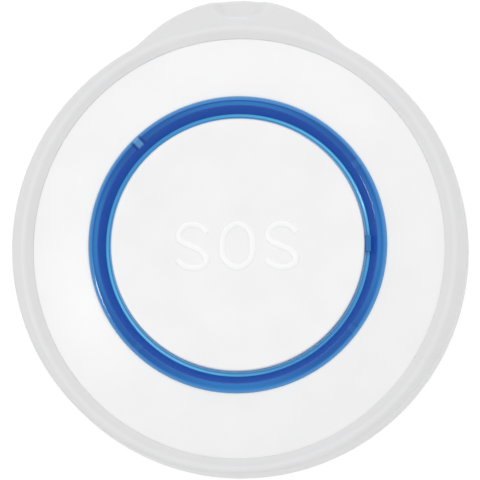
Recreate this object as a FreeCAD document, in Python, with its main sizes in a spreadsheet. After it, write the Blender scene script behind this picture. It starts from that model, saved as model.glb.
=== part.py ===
import FreeCAD, Part
import math
import os
import types

import Sketcher

# A wearable wireless panic button: a round pendant with a lanyard lug.
# Millimetres. The button's axis is Z, the flat back is at z = 0 and the lug points to +Y.

SIZES = {
    # Coin cell and its contacts
    "cell_radius": 12.25,
    "cell_height": 5.0,
    "cell_lift": 0.35,
    "cell_edge_round": 0.5,
    "cell_step": 0.3,
    "cell_cap_inset": 1.3,
    "cell_play": 0.25,
    "contact_room": 0.55,
    "contact_thick": 0.2,
    "contact_width": 3.0,
    "contact_spring": 0.9,
    "contact_foot": 1.5,
    "contact_arm": 3.6,
    # Battery cover and the well that takes it
    "lid_recess": 0.3,
    "lid_thick": 1.2,
    "lid_flange": 0.85,
    "mouth_break": 0.2,
    "lid_seal_cord": 0.64,
    "collar_thick": 0.75,
    "tab_reach": 0.7,
    "tab_height": 0.7,
    "tab_half_angle": 13.5,
    "notch_slack_angle": 2.0,
    "lid_turn": 35.0,
    "bayonet_thick": 0.85,
    "well_wall": 0.85,
    "well_rise": 0.15,
    "rib_width": 1.0,
    "support_inset": 1.85,
    "coin_slot_length": 11.0,
    "coin_slot_width": 1.9,
    "coin_slot_depth": 0.6,
    # Circuit board, its screws and its parts
    "board_thick": 0.8,
    "board_margin": 1.8,
    "board_side_gap": 0.58,
    "board_notch": 0.9,
    "screw_radius": 0.6,
    "screw_length": 2.3,
    "screw_head_radius": 1.5,
    "screw_head_height": 0.7,
    "screw_drive_width": 0.3,
    "screw_drive_length": 1.95,
    "screw_drive_depth": 0.3,
    "post_radius": 1.5,
    "chip_side": 3.0,
    "chip_height": 0.8,
    "chip_gap": 0.2,
    "crystal_width": 1.6,
    "crystal_length": 2.5,
    "small_width": 0.8,
    "small_length": 1.6,
    "small_height": 0.6,
    "led_height": 0.7,
    "antenna_inset": 0.35,
    "antenna_width": 0.5,
    "antenna_height": 0.35,
    "antenna_half_angle": 50.0,
    # Switch
    "switch_side": 6.0,
    "switch_height": 0.8,
    "switch_corner": 0.4,
    "plunger_radius": 1.6,
    "plunger_grip": 0.23,
    "plunger_bevel": 0.12,
    # Return boot, a silicone dome
    "boot_foot_radius": 10.2,
    "boot_foot_width": 1.2,
    "boot_foot_height": 0.4,
    "boot_pad_radius": 4.6,
    "boot_sheet": 0.28,
    # Button
    "button_travel": 0.4,
    "button_sink": 0.2,
    "button_dish": 0.16,
    "button_edge_round": 0.5,
    "button_plate": 1.15,
    "button_wall": 0.8,
    "flange_reach": 0.72,
    "flange_thick": 0.5,
    "boss_radius": 2.2,
    "key_width": 1.6,
    "key_reach": 0.4,
    # Light ring
    "ring_width": 2.2,
    "ring_height": 1.2,
    "ring_proud": 0.32,
    "ring_outer_round": 0.42,
    "ring_land_width": 0.43,
    "ring_groove_width": 0.4,
    "ring_groove_depth": 0.95,
    "ring_rib_width": 1.6,
    "ring_rib_length": 0.6,
    "ring_rib_height": 0.45,
    "ring_leg_depth": 1.05,
    "ring_leg_width": 1.3,
    "ring_leg_thick": 0.8,
    # Front cover
    "front_room": 1.12,
    "ledge_thick": 0.9,
    "cover_rise": 1.5,
    "cover_crown": 0.14,
    "cover_edge_round": 0.12,
    "cover_edge_thick": 1.1,
    "cover_edge_break": 0.12,
    "seat_width": 0.6,
    "skirt_depth": 1.6,
    "skirt_thick": 1.1,
    "snap_height": 0.4,
    "snap_reach": 0.22,
    "seal_cord": 0.54,
    "seal_play": 0.08,
    "seal_shelf": 0.2,
    # Outer form of the rear housing
    "crest_proud": 0.2,
    "crest_land": 0.36,
    "rim_inner_width": 0.95,
    "rim_inner_slope": 9.0,
    "rim_outer_width": 1.09,
    "rim_outer_slope": 20.0,
    "rim_round": 0.4,
    "back_round": 4.6,
    "floor_thick": 1.6,
    "wall_round": 3.0,
    # Lanyard lug
    "lug_proud": 2.4,
    "lug_tip_radius": 13.3,
    "lug_blend": 9.0,
    "slot_length": 3.8,
    "slot_width": 1.1,
    "slot_roof": 0.75,
    "bar_thick": 1.95,
    "trough_depth": 1.7,
    "trough_flare": 1.3,
    "trough_lean": 0.2,
    "trough_corner": 1.3,
    "trough_edge_round": 0.25,
    # Clearances
    "edge_gap": 0.06,
    "slide_gap": 0.08,
    "stop_gap": 0.05,
    "touch_gap": 0.02,
    "turn_gap": 0.1,
    "flange_side_gap": 0.3,
    "head_gap": 0.1,
    "ring_post_gap": 0.2,
}

# Directions of the repeated features, in degrees from +X
LEG_ANGLES = (34, 134, 226, 323)
CAPACITOR_ANGLES = (20, 60, 100, 160, 200, 250)
RESISTOR_ANGLES = (40, 80, 120, 180, 220, 300)
SCREW_START_ANGLE = 90
TAB_START_ANGLE = 90
RIB_START_ANGLE = 30

# How far the middle of a quarter arc lies from its corner's two sides, as a share of its radius
ARC_DEPTH = 1 - math.sqrt(0.5)
# Two coordinates that differ by less are the same
SAME = 0.01
# Cuts start and end this far outside what they cut, and further where there is room
CUT_PAST = 0.2
CUT_CLEAR = 1


class Size:
    """A size with its number and the sheet formula that gives it."""

    def __init__(self, value, formula):
        self.value = value
        self.formula = formula

    def __add__(self, other):
        other = as_size(other)
        return Size(self.value + other.value, f"({self.formula} + {other.formula})")

    def __sub__(self, other):
        other = as_size(other)
        return Size(self.value - other.value, f"({self.formula} - {other.formula})")

    def __rsub__(self, other):
        return as_size(other) - self

    def __mul__(self, other):
        other = as_size(other)
        return Size(self.value * other.value, f"({self.formula} * {other.formula})")

    def __truediv__(self, other):
        other = as_size(other)
        return Size(self.value / other.value, f"({self.formula} / {other.formula})")

    def __neg__(self):
        return Size(-self.value, f"(0 - {self.formula})")

    __radd__ = __add__
    __rmul__ = __mul__


def as_size(number):
    return number if isinstance(number, Size) else Size(float(number), repr(float(number)))


def cosine(angle):
    angle = as_size(angle)
    return Size(math.cos(math.radians(angle.value)), f"cos({angle.formula})")


def sine(angle):
    angle = as_size(angle)
    return Size(math.sin(math.radians(angle.value)), f"sin({angle.formula})")


def tangent(angle):
    return sine(angle) / cosine(angle)


doc = FreeCAD.newDocument("panic_button")
sheet = doc.addObject("Spreadsheet::Sheet", "sizes")
for row, (alias, number) in enumerate(SIZES.items(), start=1):
    sheet.set(f"A{row}", alias)
    sheet.set(f"B{row}", str(number))
    sheet.setAlias(f"B{row}", alias)
doc.recompute()
s = types.SimpleNamespace(**{
    alias: Size(float(number), f"sizes.{alias}") for alias, number in SIZES.items()})

# Radii, from the coin cell outwards
collar_inner_radius = s.cell_radius + s.cell_play
collar_radius = collar_inner_radius + s.collar_thick
tab_radius = collar_radius + s.tab_reach
bayonet_bore = collar_radius + s.turn_gap
well_radius = tab_radius + s.turn_gap * 2
well_outer_radius = well_radius + s.well_wall
lid_radius = collar_radius + s.lid_flange
lid_bore = lid_radius + s.turn_gap + s.edge_gap
screw_circle = well_outer_radius + s.screw_head_radius + s.head_gap
chip_circle = well_outer_radius + s.chip_gap + s.chip_side / 2
board_radius = screw_circle + s.board_margin
skirt_inner_radius = board_radius + s.board_side_gap
skirt_radius = skirt_inner_radius + s.skirt_thick
cavity_radius = skirt_radius + s.slide_gap
edge_radius = cavity_radius + s.seat_width
cover_radius = edge_radius - s.edge_gap
crest_radius = edge_radius + s.rim_inner_width
body_radius = crest_radius + s.rim_outer_width
lug_reach = body_radius + s.lug_proud
slot_inner_y = lug_reach - s.bar_thick - s.slot_width
trough_inner_y = lug_reach - s.bar_thick - s.edge_gap

# Radii of the ring and the button, inwards from the screw posts
ring_radius = screw_circle - s.post_radius - s.ring_post_gap
ring_bore = ring_radius - s.ring_width
button_radius = ring_bore - s.slide_gap
flange_radius = button_radius + s.flange_reach
ledge_radius = flange_radius + s.flange_side_gap
leg_radius = (ledge_radius + ring_radius) / 2
part_circle = (s.boot_foot_radius + leg_radius - s.small_width / 2) / 2

# Heights, from the back plane up
lid_inner_z = s.lid_recess + s.lid_thick
bayonet_base_z = lid_inner_z + s.stop_gap
bayonet_top_z = bayonet_base_z + s.bayonet_thick
tab_base_z = bayonet_top_z + s.turn_gap
tab_top_z = tab_base_z + s.tab_height
cell_base_z = lid_inner_z + s.cell_lift
cell_top_z = cell_base_z + s.cell_height
well_top_z = cell_top_z + s.well_rise
board_base_z = cell_top_z + s.contact_room
board_top_z = board_base_z + s.board_thick
plunger_top_z = board_top_z + s.switch_height + s.button_travel + s.stop_gap
plunger_base_z = board_top_z + s.switch_height - s.plunger_grip
boss_base_z = plunger_top_z + s.boot_sheet + s.touch_gap * 2
ledge_base_z = board_top_z + s.front_room
ledge_top_z = ledge_base_z + s.ledge_thick
ring_top_z = ledge_top_z + s.ring_height
button_top_z = ring_top_z - s.button_sink
plate_base_z = button_top_z - s.button_plate
flange_top_z = ledge_top_z - s.stop_gap
flange_base_z = flange_top_z - s.flange_thick
cover_top_z = ring_top_z - s.ring_proud
cover_edge_z = cover_top_z - s.cover_rise
seat_z = cover_edge_z - s.cover_edge_thick
skirt_base_z = seat_z - s.skirt_depth
snap_z = skirt_base_z + s.snap_height
seal_groove_z = seat_z - s.seal_cord - s.seal_play * 2 - s.seal_shelf
crest_z = cover_edge_z + s.crest_proud
bar_top_z = crest_z - s.trough_depth
slot_top_z = crest_z - s.slot_roof
groove_z = ring_top_z - s.ring_groove_depth


# Sketch and feature helpers


def bind(feature, path, size):
    """Tie one property of a feature to the sheet."""
    feature.setExpression(path, as_size(size).formula)


def new_body(name):
    body = doc.addObject("PartDesign::Body", name)
    body.Label = name
    return body


def new_sketch(body, name, plane="XY_Plane", height=None, turn=None):
    """A sketch on one of the body's own planes, lifted and turned if asked."""
    sketch = body.newObject("Sketcher::SketchObject", name)
    origin_plane = next(item for item in body.Origin.OriginFeatures if item.Role == plane)
    sketch.AttachmentSupport = (origin_plane, [""])
    sketch.MapMode = "FlatFace"
    if height is not None:
        bind(sketch, "AttachmentOffset.Base.z", height)
    if turn is not None:
        sketch.AttachmentOffset = FreeCAD.Placement(
            FreeCAD.Vector(), FreeCAD.Rotation(FreeCAD.Vector(0, 0, 1), as_size(turn).value))
        bind(sketch, "AttachmentOffset.Rotation.Angle", turn)
    return sketch


def pin_point(sketch, geometry, position, across, up):
    """Hold one point of a sketch at its two distances from the origin."""
    for kind, size, axis in (("DistanceX", across, -2), ("DistanceY", up, -1)):
        if size.value == 0:
            sketch.addConstraint(Sketcher.Constraint("PointOnObject", geometry, position, axis))
            continue
        index = sketch.addConstraint(
            Sketcher.Constraint(kind, -1, 1, geometry, position, size.value))
        bind(sketch, f"Constraints[{index}]", size)


def draw_outline(sketch, corners):
    """Draw a closed outline. A corner is (x, y), or (x, y, via_x, via_y) where an arc leaves it."""
    points = [tuple(as_size(number) for number in corner) for corner in corners]
    ends = []
    for corner, following in zip(points, points[1:] + points[:1]):
        start = FreeCAD.Vector(corner[0].value, corner[1].value, 0)
        end = FreeCAD.Vector(following[0].value, following[1].value, 0)
        if len(corner) == 2:
            edge = sketch.addGeometry(Part.LineSegment(start, end), False)
            ends.append((edge, 1, 2))
            continue
        via = FreeCAD.Vector(corner[2].value, corner[3].value, 0)
        edge = sketch.addGeometry(Part.Arc(start, via, end), False)
        first_end, second_end = sketch.getPoint(edge, 1), sketch.getPoint(edge, 2)
        forward = first_end.distanceToPoint(start) < second_end.distanceToPoint(start)
        ends.append((edge, 1, 2) if forward else (edge, 2, 1))
    for index, (edge, first, last) in enumerate(ends):
        next_edge, next_first, next_last = ends[(index + 1) % len(ends)]
        sketch.addConstraint(Sketcher.Constraint("Coincident", edge, last, next_edge, next_first))
    for corner, (edge, first, last) in zip(points, ends):
        pin_point(sketch, edge, first, corner[0], corner[1])
        if len(corner) == 4:
            marker = sketch.addGeometry(
                Part.Point(FreeCAD.Vector(corner[2].value, corner[3].value, 0)), True)
            pin_point(sketch, marker, 1, corner[2], corner[3])
            sketch.addConstraint(Sketcher.Constraint("PointOnObject", marker, 1, edge))


def draw_circle(sketch, radius, across=0, up=0):
    radius, across, up = as_size(radius), as_size(across), as_size(up)
    centre = FreeCAD.Vector(across.value, up.value, 0)
    ring = sketch.addGeometry(Part.Circle(centre, FreeCAD.Vector(0, 0, 1), radius.value), False)
    pin_point(sketch, ring, 3, across, up)
    index = sketch.addConstraint(Sketcher.Constraint("Radius", ring, radius.value))
    bind(sketch, f"Constraints[{index}]", radius)


def block(across, up, width, length):
    """Corners of a rectangle about its centre."""
    across, up, width, length = (as_size(number) for number in (across, up, width, length))
    return [
        (across - width / 2, up - length / 2),
        (across + width / 2, up - length / 2),
        (across + width / 2, up + length / 2),
        (across - width / 2, up + length / 2),
    ]


def draw_long_hole(sketch, length, width, centre):
    """A hole with round ends along X, with its middle at the given Y."""
    half, side = length / 2, width / 2
    straight = half - side
    draw_outline(sketch, [
        (-straight, centre - side),
        (straight, centre - side, half, centre),
        (straight, centre + side),
        (-straight, centre + side, -half, centre),
    ])


def sector(inner, outer, half_angle):
    """Corners of a ring sector that is centred on +X."""
    inner, outer = as_size(inner), as_size(outer)
    across, up = cosine(half_angle), sine(half_angle)
    return [
        (inner * across, -(inner * up)),
        (outer * across, -(outer * up), outer, 0),
        (outer * across, outer * up),
        (inner * across, inner * up, inner, 0),
    ]


def spun(body, name, corners, cut=False):
    """Spin an outline, given as (radius, z) corners, about the Z axis."""
    sketch = new_sketch(body, f"{name}_outline", "XZ_Plane")
    draw_outline(sketch, corners)
    kind = "PartDesign::Groove" if cut else "PartDesign::Revolution"
    feature = body.newObject(kind, name)
    feature.Profile = sketch
    feature.ReferenceAxis = (sketch, ["V_Axis"])
    feature.Angle = 360
    return feature


def raised(body, name, draw, base, height, turn=None):
    """Pad upwards from a height."""
    sketch = new_sketch(body, f"{name}_sketch", height=base, turn=turn)
    draw(sketch)
    feature = body.newObject("PartDesign::Pad", name)
    feature.Profile = sketch
    bind(feature, "Length", height)
    return feature


def sunk(body, name, draw, base, height, turn=None):
    """Cut upwards from a height, and make sure that something was cut."""
    doc.recompute()
    volume_before = body.Shape.Volume
    sketch = new_sketch(body, f"{name}_sketch", height=base, turn=turn)
    draw(sketch)
    feature = body.newObject("PartDesign::Pocket", name)
    feature.Profile = sketch
    feature.Reversed = True
    bind(feature, "Length", height)
    doc.recompute()
    if feature.Shape.Volume >= volume_before:
        raise RuntimeError(f"{name} cuts nothing")
    return feature


def repeated(body, name, feature, count):
    """Copy a feature evenly round the Z axis."""
    pattern = body.newObject("PartDesign::PolarPattern", name)
    pattern.Originals = [feature]
    pattern.Axis = (feature.Profile[0], ["N_Axis"])
    pattern.Angle = 360
    pattern.Occurrences = count
    body.Tip = pattern
    return pattern


def dressed_edges(body, kind, name, test):
    """Start a fillet or chamfer on the edges of the body's tip that pass a test."""
    doc.recompute()
    base = body.Tip
    names = [f"Edge{index}" for index, edge in enumerate(base.Shape.Edges, start=1) if test(edge)]
    if not names:
        raise RuntimeError(f"{name} finds no edge")
    feature = body.newObject(kind, name)
    feature.Base = (base, names)
    return feature


def rounded(body, name, radius, test):
    feature = dressed_edges(body, "PartDesign::Fillet", name, test)
    bind(feature, "Radius", radius)
    return feature


def beveled(body, name, size, test):
    feature = dressed_edges(body, "PartDesign::Chamfer", name, test)
    bind(feature, "Size", size)
    return feature


def middle(edge):
    return edge.valueAt((edge.FirstParameter + edge.LastParameter) / 2)


def radius_at(point):
    return math.hypot(point.x, point.y)


# Rear housing: one frosted moulding with the rim, the lanyard lug and the battery well


def lug_outline(sketch):
    draw_circle(sketch, s.lug_tip_radius, 0, lug_reach - s.lug_tip_radius)


def trough_outline(sketch, half_width, inner_y):
    """A U open to +Y, with two round corners."""
    outer_y = lug_reach + CUT_CLEAR
    bend = s.trough_corner * ARC_DEPTH
    draw_outline(sketch, [
        (-half_width, outer_y),
        (-half_width, inner_y + s.trough_corner, bend - half_width, inner_y + bend),
        (s.trough_corner - half_width, inner_y),
        (half_width - s.trough_corner, inner_y, half_width - bend, inner_y + bend),
        (half_width, inner_y + s.trough_corner),
        (half_width, outer_y),
    ])


def lanyard_trough(body):
    """Flared recess in the lug's front, down to the bar that the lanyard loops round."""
    floor = new_sketch(body, "trough_floor", height=bar_top_z)
    trough_outline(floor, s.slot_length / 2, trough_inner_y)
    mouth = new_sketch(body, "trough_mouth", height=crest_z)
    trough_outline(mouth, s.slot_length / 2 + s.trough_flare, trough_inner_y - s.trough_lean)
    loft = body.newObject("PartDesign::SubtractiveLoft", "trough")
    loft.Profile = floor
    loft.Sections = [mouth]
    loft.Ruled = True


def slot_outline(sketch):
    draw_long_hole(sketch, s.slot_length, s.slot_width, slot_inner_y + s.slot_width / 2)


def make_rear_housing():
    body = new_body("rear_housing")
    raised(body, "round_body", lambda sketch: draw_circle(sketch, body_radius), 0, crest_z)
    raised(body, "lug", lug_outline, 0, crest_z)
    # The concave blends where the lug leaves the round body
    rounded(body, "lug_blends", s.lug_blend, lambda edge: (
        abs(edge.BoundBox.ZLength - crest_z.value) < SAME and edge.BoundBox.XLength < SAME
        and middle(edge).y > 0 and abs(middle(edge).x) > 1))
    spun(body, "rim_top", rim_corners(), cut=True)
    rounded(body, "rim_edge", s.rim_round, lambda edge: (
        edge.BoundBox.ZMin > crest_z.value / 2
        and min(radius_at(vertex.Point) for vertex in edge.Vertexes) > body_radius.value - SAME
        and radius_at(middle(edge)) > body_radius.value - SAME))
    rounded(body, "back_edge", s.back_round, lambda edge: edge.BoundBox.ZMax < SAME)
    spun(body, "cavity", cavity_corners(), cut=True)
    spun(body, "battery_well", [
        (0, 0),
        (lid_bore + s.mouth_break, 0),
        (lid_bore, s.mouth_break),
        (lid_bore, bayonet_base_z),
        (bayonet_bore, bayonet_base_z),
        (bayonet_bore, bayonet_top_z),
        (well_radius, bayonet_top_z),
        (well_radius, well_top_z + CUT_CLEAR),
        (0, well_top_z + CUT_CLEAR),
    ], cut=True)
    notch_corners = sector(
        bayonet_bore - CUT_PAST, tab_radius + s.turn_gap, s.tab_half_angle + s.notch_slack_angle)
    notch = sunk(
        body, "bayonet_notch", lambda sketch: draw_outline(sketch, notch_corners),
        bayonet_base_z - CUT_PAST, s.bayonet_thick + CUT_PAST * 2, TAB_START_ANGLE - s.lid_turn)
    repeated(body, "bayonet_notches", notch, 3)
    rib_inner = collar_inner_radius - s.edge_gap
    rib_outer = well_radius + s.well_wall / 2
    rib_corners = block((rib_inner + rib_outer) / 2, 0, rib_outer - rib_inner, s.rib_width)
    rib_base_z = tab_top_z + s.turn_gap * 2
    rib = raised(
        body, "cell_rib", lambda sketch: draw_outline(sketch, rib_corners),
        rib_base_z, well_top_z - rib_base_z, RIB_START_ANGLE)
    repeated(body, "cell_ribs", rib, 6)
    lanyard_trough(body)
    rounded(body, "trough_edges", s.trough_edge_round, lambda edge: (
        edge.BoundBox.ZMin > slot_top_z.value - CUT_PAST
        and edge.BoundBox.YMin > slot_inner_y.value
        and edge.BoundBox.YMax < trough_inner_y.value + s.trough_corner.value + SAME
        and abs(middle(edge).x) < (s.slot_length / 2 + s.trough_flare).value + SAME))
    # The slot comes up from the back and opens into the trough under its inner edge
    sunk(body, "lanyard_slot", slot_outline, -CUT_CLEAR, slot_top_z + CUT_CLEAR)
    return body


def rim_corners():
    """Section of what is cut off the top: the rim rises to a crest and falls out to the lug's end."""
    reach = lug_reach + CUT_CLEAR
    half_land = s.crest_land / 2
    return [
        (edge_radius - CUT_CLEAR, crest_z - (s.rim_inner_width - half_land) * tangent(s.rim_inner_slope)),
        (edge_radius, crest_z - (s.rim_inner_width - half_land) * tangent(s.rim_inner_slope)),
        (crest_radius - half_land, crest_z),
        (crest_radius + half_land, crest_z),
        (reach, crest_z - (reach - crest_radius - half_land) * tangent(s.rim_outer_slope)),
        (reach, crest_z + CUT_CLEAR),
        (edge_radius - CUT_CLEAR, crest_z + CUT_CLEAR),
    ]


def cavity_corners():
    """Section of the room for the board, with the seat for the front cover and the snap groove."""
    corner = s.wall_round * ARC_DEPTH
    half_bead = s.snap_height / 2
    return [
        (0, well_top_z),
        (well_outer_radius, well_top_z),
        (well_outer_radius, s.floor_thick),
        (cavity_radius - s.wall_round, s.floor_thick, cavity_radius - corner, s.floor_thick + corner),
        (cavity_radius, s.floor_thick + s.wall_round),
        (cavity_radius, snap_z - half_bead - s.edge_gap),
        (cavity_radius + s.snap_reach, snap_z - s.edge_gap),
        (cavity_radius + s.snap_reach, snap_z + s.edge_gap),
        (cavity_radius, snap_z + half_bead + s.edge_gap),
        (cavity_radius, seat_z),
        (edge_radius, seat_z),
        (edge_radius, crest_z + CUT_CLEAR),
        (0, crest_z + CUT_CLEAR),
    ]


# Front cover: the white domed disc with its skirt, ring seat and screw posts


def make_front_cover():
    body = new_body("front_cover")
    corner = s.cover_edge_round * ARC_DEPTH
    bore = ring_radius + s.edge_gap
    top_start = cover_radius - s.cover_edge_round
    top_end = bore + s.cover_edge_break
    crown_z = cover_edge_z + s.cover_rise / 2 + s.cover_crown
    groove_radius = cavity_radius - s.seal_cord - s.touch_gap
    groove_top_z = seal_groove_z + s.seal_cord + s.seal_play * 2
    spun(body, "cover_disc", [
        (cover_radius, seat_z),
        (cover_radius, cover_edge_z - s.cover_edge_round, cover_radius - corner, cover_edge_z - corner),
        (top_start, cover_edge_z, (top_start + top_end) / 2, crown_z),
        (top_end, cover_top_z),
        (bore, cover_top_z - s.cover_edge_break),
        (bore, ledge_top_z),
        (ledge_radius, ledge_top_z),
        (ledge_radius, ledge_base_z),
        (bore, ledge_base_z),
        (skirt_inner_radius, seat_z),
        (skirt_inner_radius, skirt_base_z),
        (skirt_radius, skirt_base_z),
        (skirt_radius, snap_z - s.snap_height / 2),
        (skirt_radius + s.snap_reach, snap_z),
        (skirt_radius, snap_z + s.snap_height / 2),
        (skirt_radius, seal_groove_z),
        (groove_radius, seal_groove_z),
        (groove_radius, groove_top_z),
        (skirt_radius, groove_top_z),
        (skirt_radius, seat_z),
    ])
    post = raised(
        body, "screw_post", lambda sketch: draw_circle(sketch, s.post_radius, screw_circle),
        board_top_z, cover_edge_z - board_top_z, SCREW_START_ANGLE)
    repeated(body, "screw_posts", post, 3)
    hole = sunk(
        body, "screw_hole", lambda sketch: draw_circle(sketch, s.screw_radius + s.touch_gap, screw_circle),
        board_top_z, s.screw_length - s.board_thick + s.turn_gap, SCREW_START_ANGLE)
    repeated(body, "screw_holes", hole, 3)
    opening = block(leg_radius, 0, s.ring_leg_thick + s.edge_gap * 2, s.ring_leg_width + s.edge_gap * 2)
    for number, angle in enumerate(LEG_ANGLES, start=1):
        sunk(
            body, f"leg_opening_{number}", lambda sketch: draw_outline(sketch, opening),
            ledge_base_z - CUT_PAST, s.ledge_thick + CUT_PAST * 2, angle)
    notch = block(ledge_radius, 0, (s.key_reach + s.turn_gap) * 2, s.key_width + s.edge_gap * 2)
    sunk(body, "key_notch", lambda sketch: draw_outline(sketch, notch),
         ledge_base_z - CUT_PAST, s.ledge_thick + CUT_PAST * 2)
    return body


def seal_section(outer_radius, middle_z, cord):
    """Section of a moulded seal: a square with broken corners."""
    half = cord / 2
    flat = half * 0.5
    centre = outer_radius - half
    return [
        (centre - half, middle_z - flat),
        (centre - flat, middle_z - half),
        (centre + flat, middle_z - half),
        (centre + half, middle_z - flat),
        (centre + half, middle_z + flat),
        (centre + flat, middle_z + half),
        (centre - flat, middle_z + half),
        (centre - half, middle_z + flat),
    ]


def make_cover_seal():
    """Seal in the skirt's groove."""
    body = new_body("cover_seal")
    middle_z = seal_groove_z + s.seal_cord / 2 + s.seal_play
    spun(body, "seal_ring", seal_section(cavity_radius - s.touch_gap / 2, middle_z, s.seal_cord))
    return body


# Light ring: clear blue moulding with a bevelled inner wall, a groove round the button and four light legs


def make_light_ring():
    body = new_body("light_ring")
    corner = s.ring_outer_round * ARC_DEPTH
    land_outer = ring_radius - s.ring_outer_round
    land_inner = land_outer - s.ring_land_width
    shoulder = s.ring_groove_depth * 0.1
    spun(body, "ring_section", [
        (ring_bore, ledge_top_z),
        (ring_radius, ledge_top_z),
        (ring_radius, ring_top_z - s.ring_outer_round, ring_radius - corner, ring_top_z - corner),
        (land_outer, ring_top_z),
        (land_inner, ring_top_z, land_inner - shoulder * 0.9, ring_top_z - shoulder * 0.3),
        (land_inner - shoulder * 1.5, ring_top_z - shoulder),
        (ring_bore + s.ring_groove_width, groove_z),
        (ring_bore, groove_z),
    ])
    leg = block(leg_radius, 0, s.ring_leg_thick, s.ring_leg_width)
    for number, angle in enumerate(LEG_ANGLES, start=1):
        raised(
            body, f"light_leg_{number}", lambda sketch: draw_outline(sketch, leg),
            ledge_top_z - s.ring_leg_depth, s.ring_leg_depth + CUT_PAST, angle)
    rib = block(ring_bore + s.ring_rib_length / 2, 0, s.ring_rib_length, s.ring_rib_width)
    raised(body, "groove_rib", lambda sketch: draw_outline(sketch, rib),
           groove_z - CUT_PAST, s.ring_rib_height + CUT_PAST)
    return body


# Button: dished cap with a stop flange, an anti-turn key and a pressing boss


def make_button_cap():
    body = new_body("button_cap")
    corner = s.button_edge_round * ARC_DEPTH
    shoulder = button_radius - s.button_edge_round
    dish_z = button_top_z - s.button_dish
    inner_radius = button_radius - s.button_wall
    spun(body, "cap", [
        (0, dish_z, shoulder / 2, dish_z + s.button_dish * 0.25),
        (shoulder, button_top_z, button_radius - corner, button_top_z - corner),
        (button_radius, button_top_z - s.button_edge_round),
        (button_radius, flange_top_z),
        (flange_radius, flange_top_z),
        (flange_radius, flange_base_z),
        (inner_radius, flange_base_z),
        (inner_radius, plate_base_z),
        (s.boss_radius, plate_base_z),
        (s.boss_radius, boss_base_z),
        (0, boss_base_z),
    ])
    key_root = flange_radius - s.key_reach
    key_length = ledge_radius + s.key_reach - key_root
    key = block(key_root + key_length / 2, 0, key_length, s.key_width)
    raised(body, "key", lambda sketch: draw_outline(sketch, key), flange_base_z, s.flange_thick)
    return body


def make_button_boot():
    """Silicone dome that lifts the button and keeps water off the switch."""
    body = new_body("button_boot")
    pad_top = boss_base_z - s.touch_gap
    foot_inner = s.boot_foot_radius - s.boot_foot_width
    foot_top = board_top_z + s.boot_foot_height
    spun(body, "dome", [
        (0, pad_top - s.boot_sheet),
        (s.boot_pad_radius, pad_top - s.boot_sheet),
        (foot_inner, board_top_z + s.boot_foot_height / 3),
        (foot_inner, board_top_z),
        (s.boot_foot_radius, board_top_z),
        (s.boot_foot_radius, foot_top),
        (foot_inner + s.boot_sheet, foot_top),
        (s.boot_pad_radius + s.boot_sheet, pad_top),
        (0, pad_top),
    ])
    return body


# Switch under the button


def make_switch_body():
    body = new_body("switch_body")
    side = block(0, 0, s.switch_side, s.switch_side)
    raised(body, "base", lambda sketch: draw_outline(sketch, side), board_top_z, s.switch_height)
    rounded(body, "corners", s.switch_corner, lambda edge: (
        edge.BoundBox.ZLength > s.switch_height.value - SAME))
    hole_base_z = plunger_base_z - s.button_travel - s.slide_gap
    sunk(body, "plunger_hole", lambda sketch: draw_circle(sketch, s.plunger_radius + s.slide_gap),
         hole_base_z, plunger_top_z - hole_base_z)
    return body


def make_switch_plunger():
    body = new_body("switch_plunger")
    raised(body, "stem", lambda sketch: draw_circle(sketch, s.plunger_radius),
           plunger_base_z, plunger_top_z - plunger_base_z)
    beveled(body, "edge_break", s.plunger_bevel, lambda edge: (
        edge.BoundBox.ZMin > plunger_top_z.value - SAME))
    return body


# Circuit board, the parts soldered to it and its screws


def make_circuit_board():
    body = new_body("circuit_board")
    raised(body, "panel", lambda sketch: draw_circle(sketch, board_radius), board_base_z, s.board_thick)
    cut_base = board_base_z - CUT_PAST
    cut_height = s.board_thick + CUT_PAST * 2
    hole = sunk(
        body, "screw_clearance",
        lambda sketch: draw_circle(sketch, s.screw_radius + s.turn_gap, screw_circle),
        cut_base, cut_height, SCREW_START_ANGLE)
    repeated(body, "screw_clearances", hole, 3)
    notch = sunk(
        body, "edge_notch", lambda sketch: draw_circle(sketch, s.board_notch, board_radius),
        cut_base, cut_height, SCREW_START_ANGLE + 60)
    repeated(body, "edge_notches", notch, 3)
    return body


def make_chips(name, circle, angles, width, length, height, below=False):
    """Like chips on one side of the board, at the given angles of a circle."""
    body = new_body(name)
    base = board_base_z - height if below else board_top_z
    corners = block(circle, 0, width, length)
    for number, angle in enumerate(angles, start=1):
        raised(body, f"{name}_{number}", lambda sketch: draw_outline(sketch, corners), base, height, angle)
    return body


def make_loop_antenna():
    """Copper strip soldered along the board's edge."""
    body = new_body("loop_antenna")
    outer = board_radius - s.antenna_inset
    strip = sector(outer - s.antenna_width, outer, s.antenna_half_angle)
    raised(body, "strip", lambda sketch: draw_outline(sketch, strip), board_top_z, s.antenna_height, 270)
    return body


def make_board_screws():
    body = new_body("board_screws")
    head_base_z = board_base_z - s.screw_head_height
    drive = block(screw_circle, 0, s.screw_drive_width, s.screw_drive_length)
    for number in range(3):
        angle = SCREW_START_ANGLE + 120 * number
        raised(
            body, f"head_{number + 1}",
            lambda sketch: draw_circle(sketch, s.screw_head_radius, screw_circle),
            head_base_z, s.screw_head_height, angle)
        raised(
            body, f"shank_{number + 1}",
            lambda sketch: draw_circle(sketch, s.screw_radius, screw_circle),
            head_base_z + s.screw_drive_depth,
            s.screw_length + s.screw_head_height - s.screw_drive_depth, angle)
        sunk(
            body, f"drive_{number + 1}", lambda sketch: draw_outline(sketch, drive),
            head_base_z - CUT_PAST, s.screw_drive_depth + CUT_PAST, angle)
    return body


# Coin cell and contacts


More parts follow.
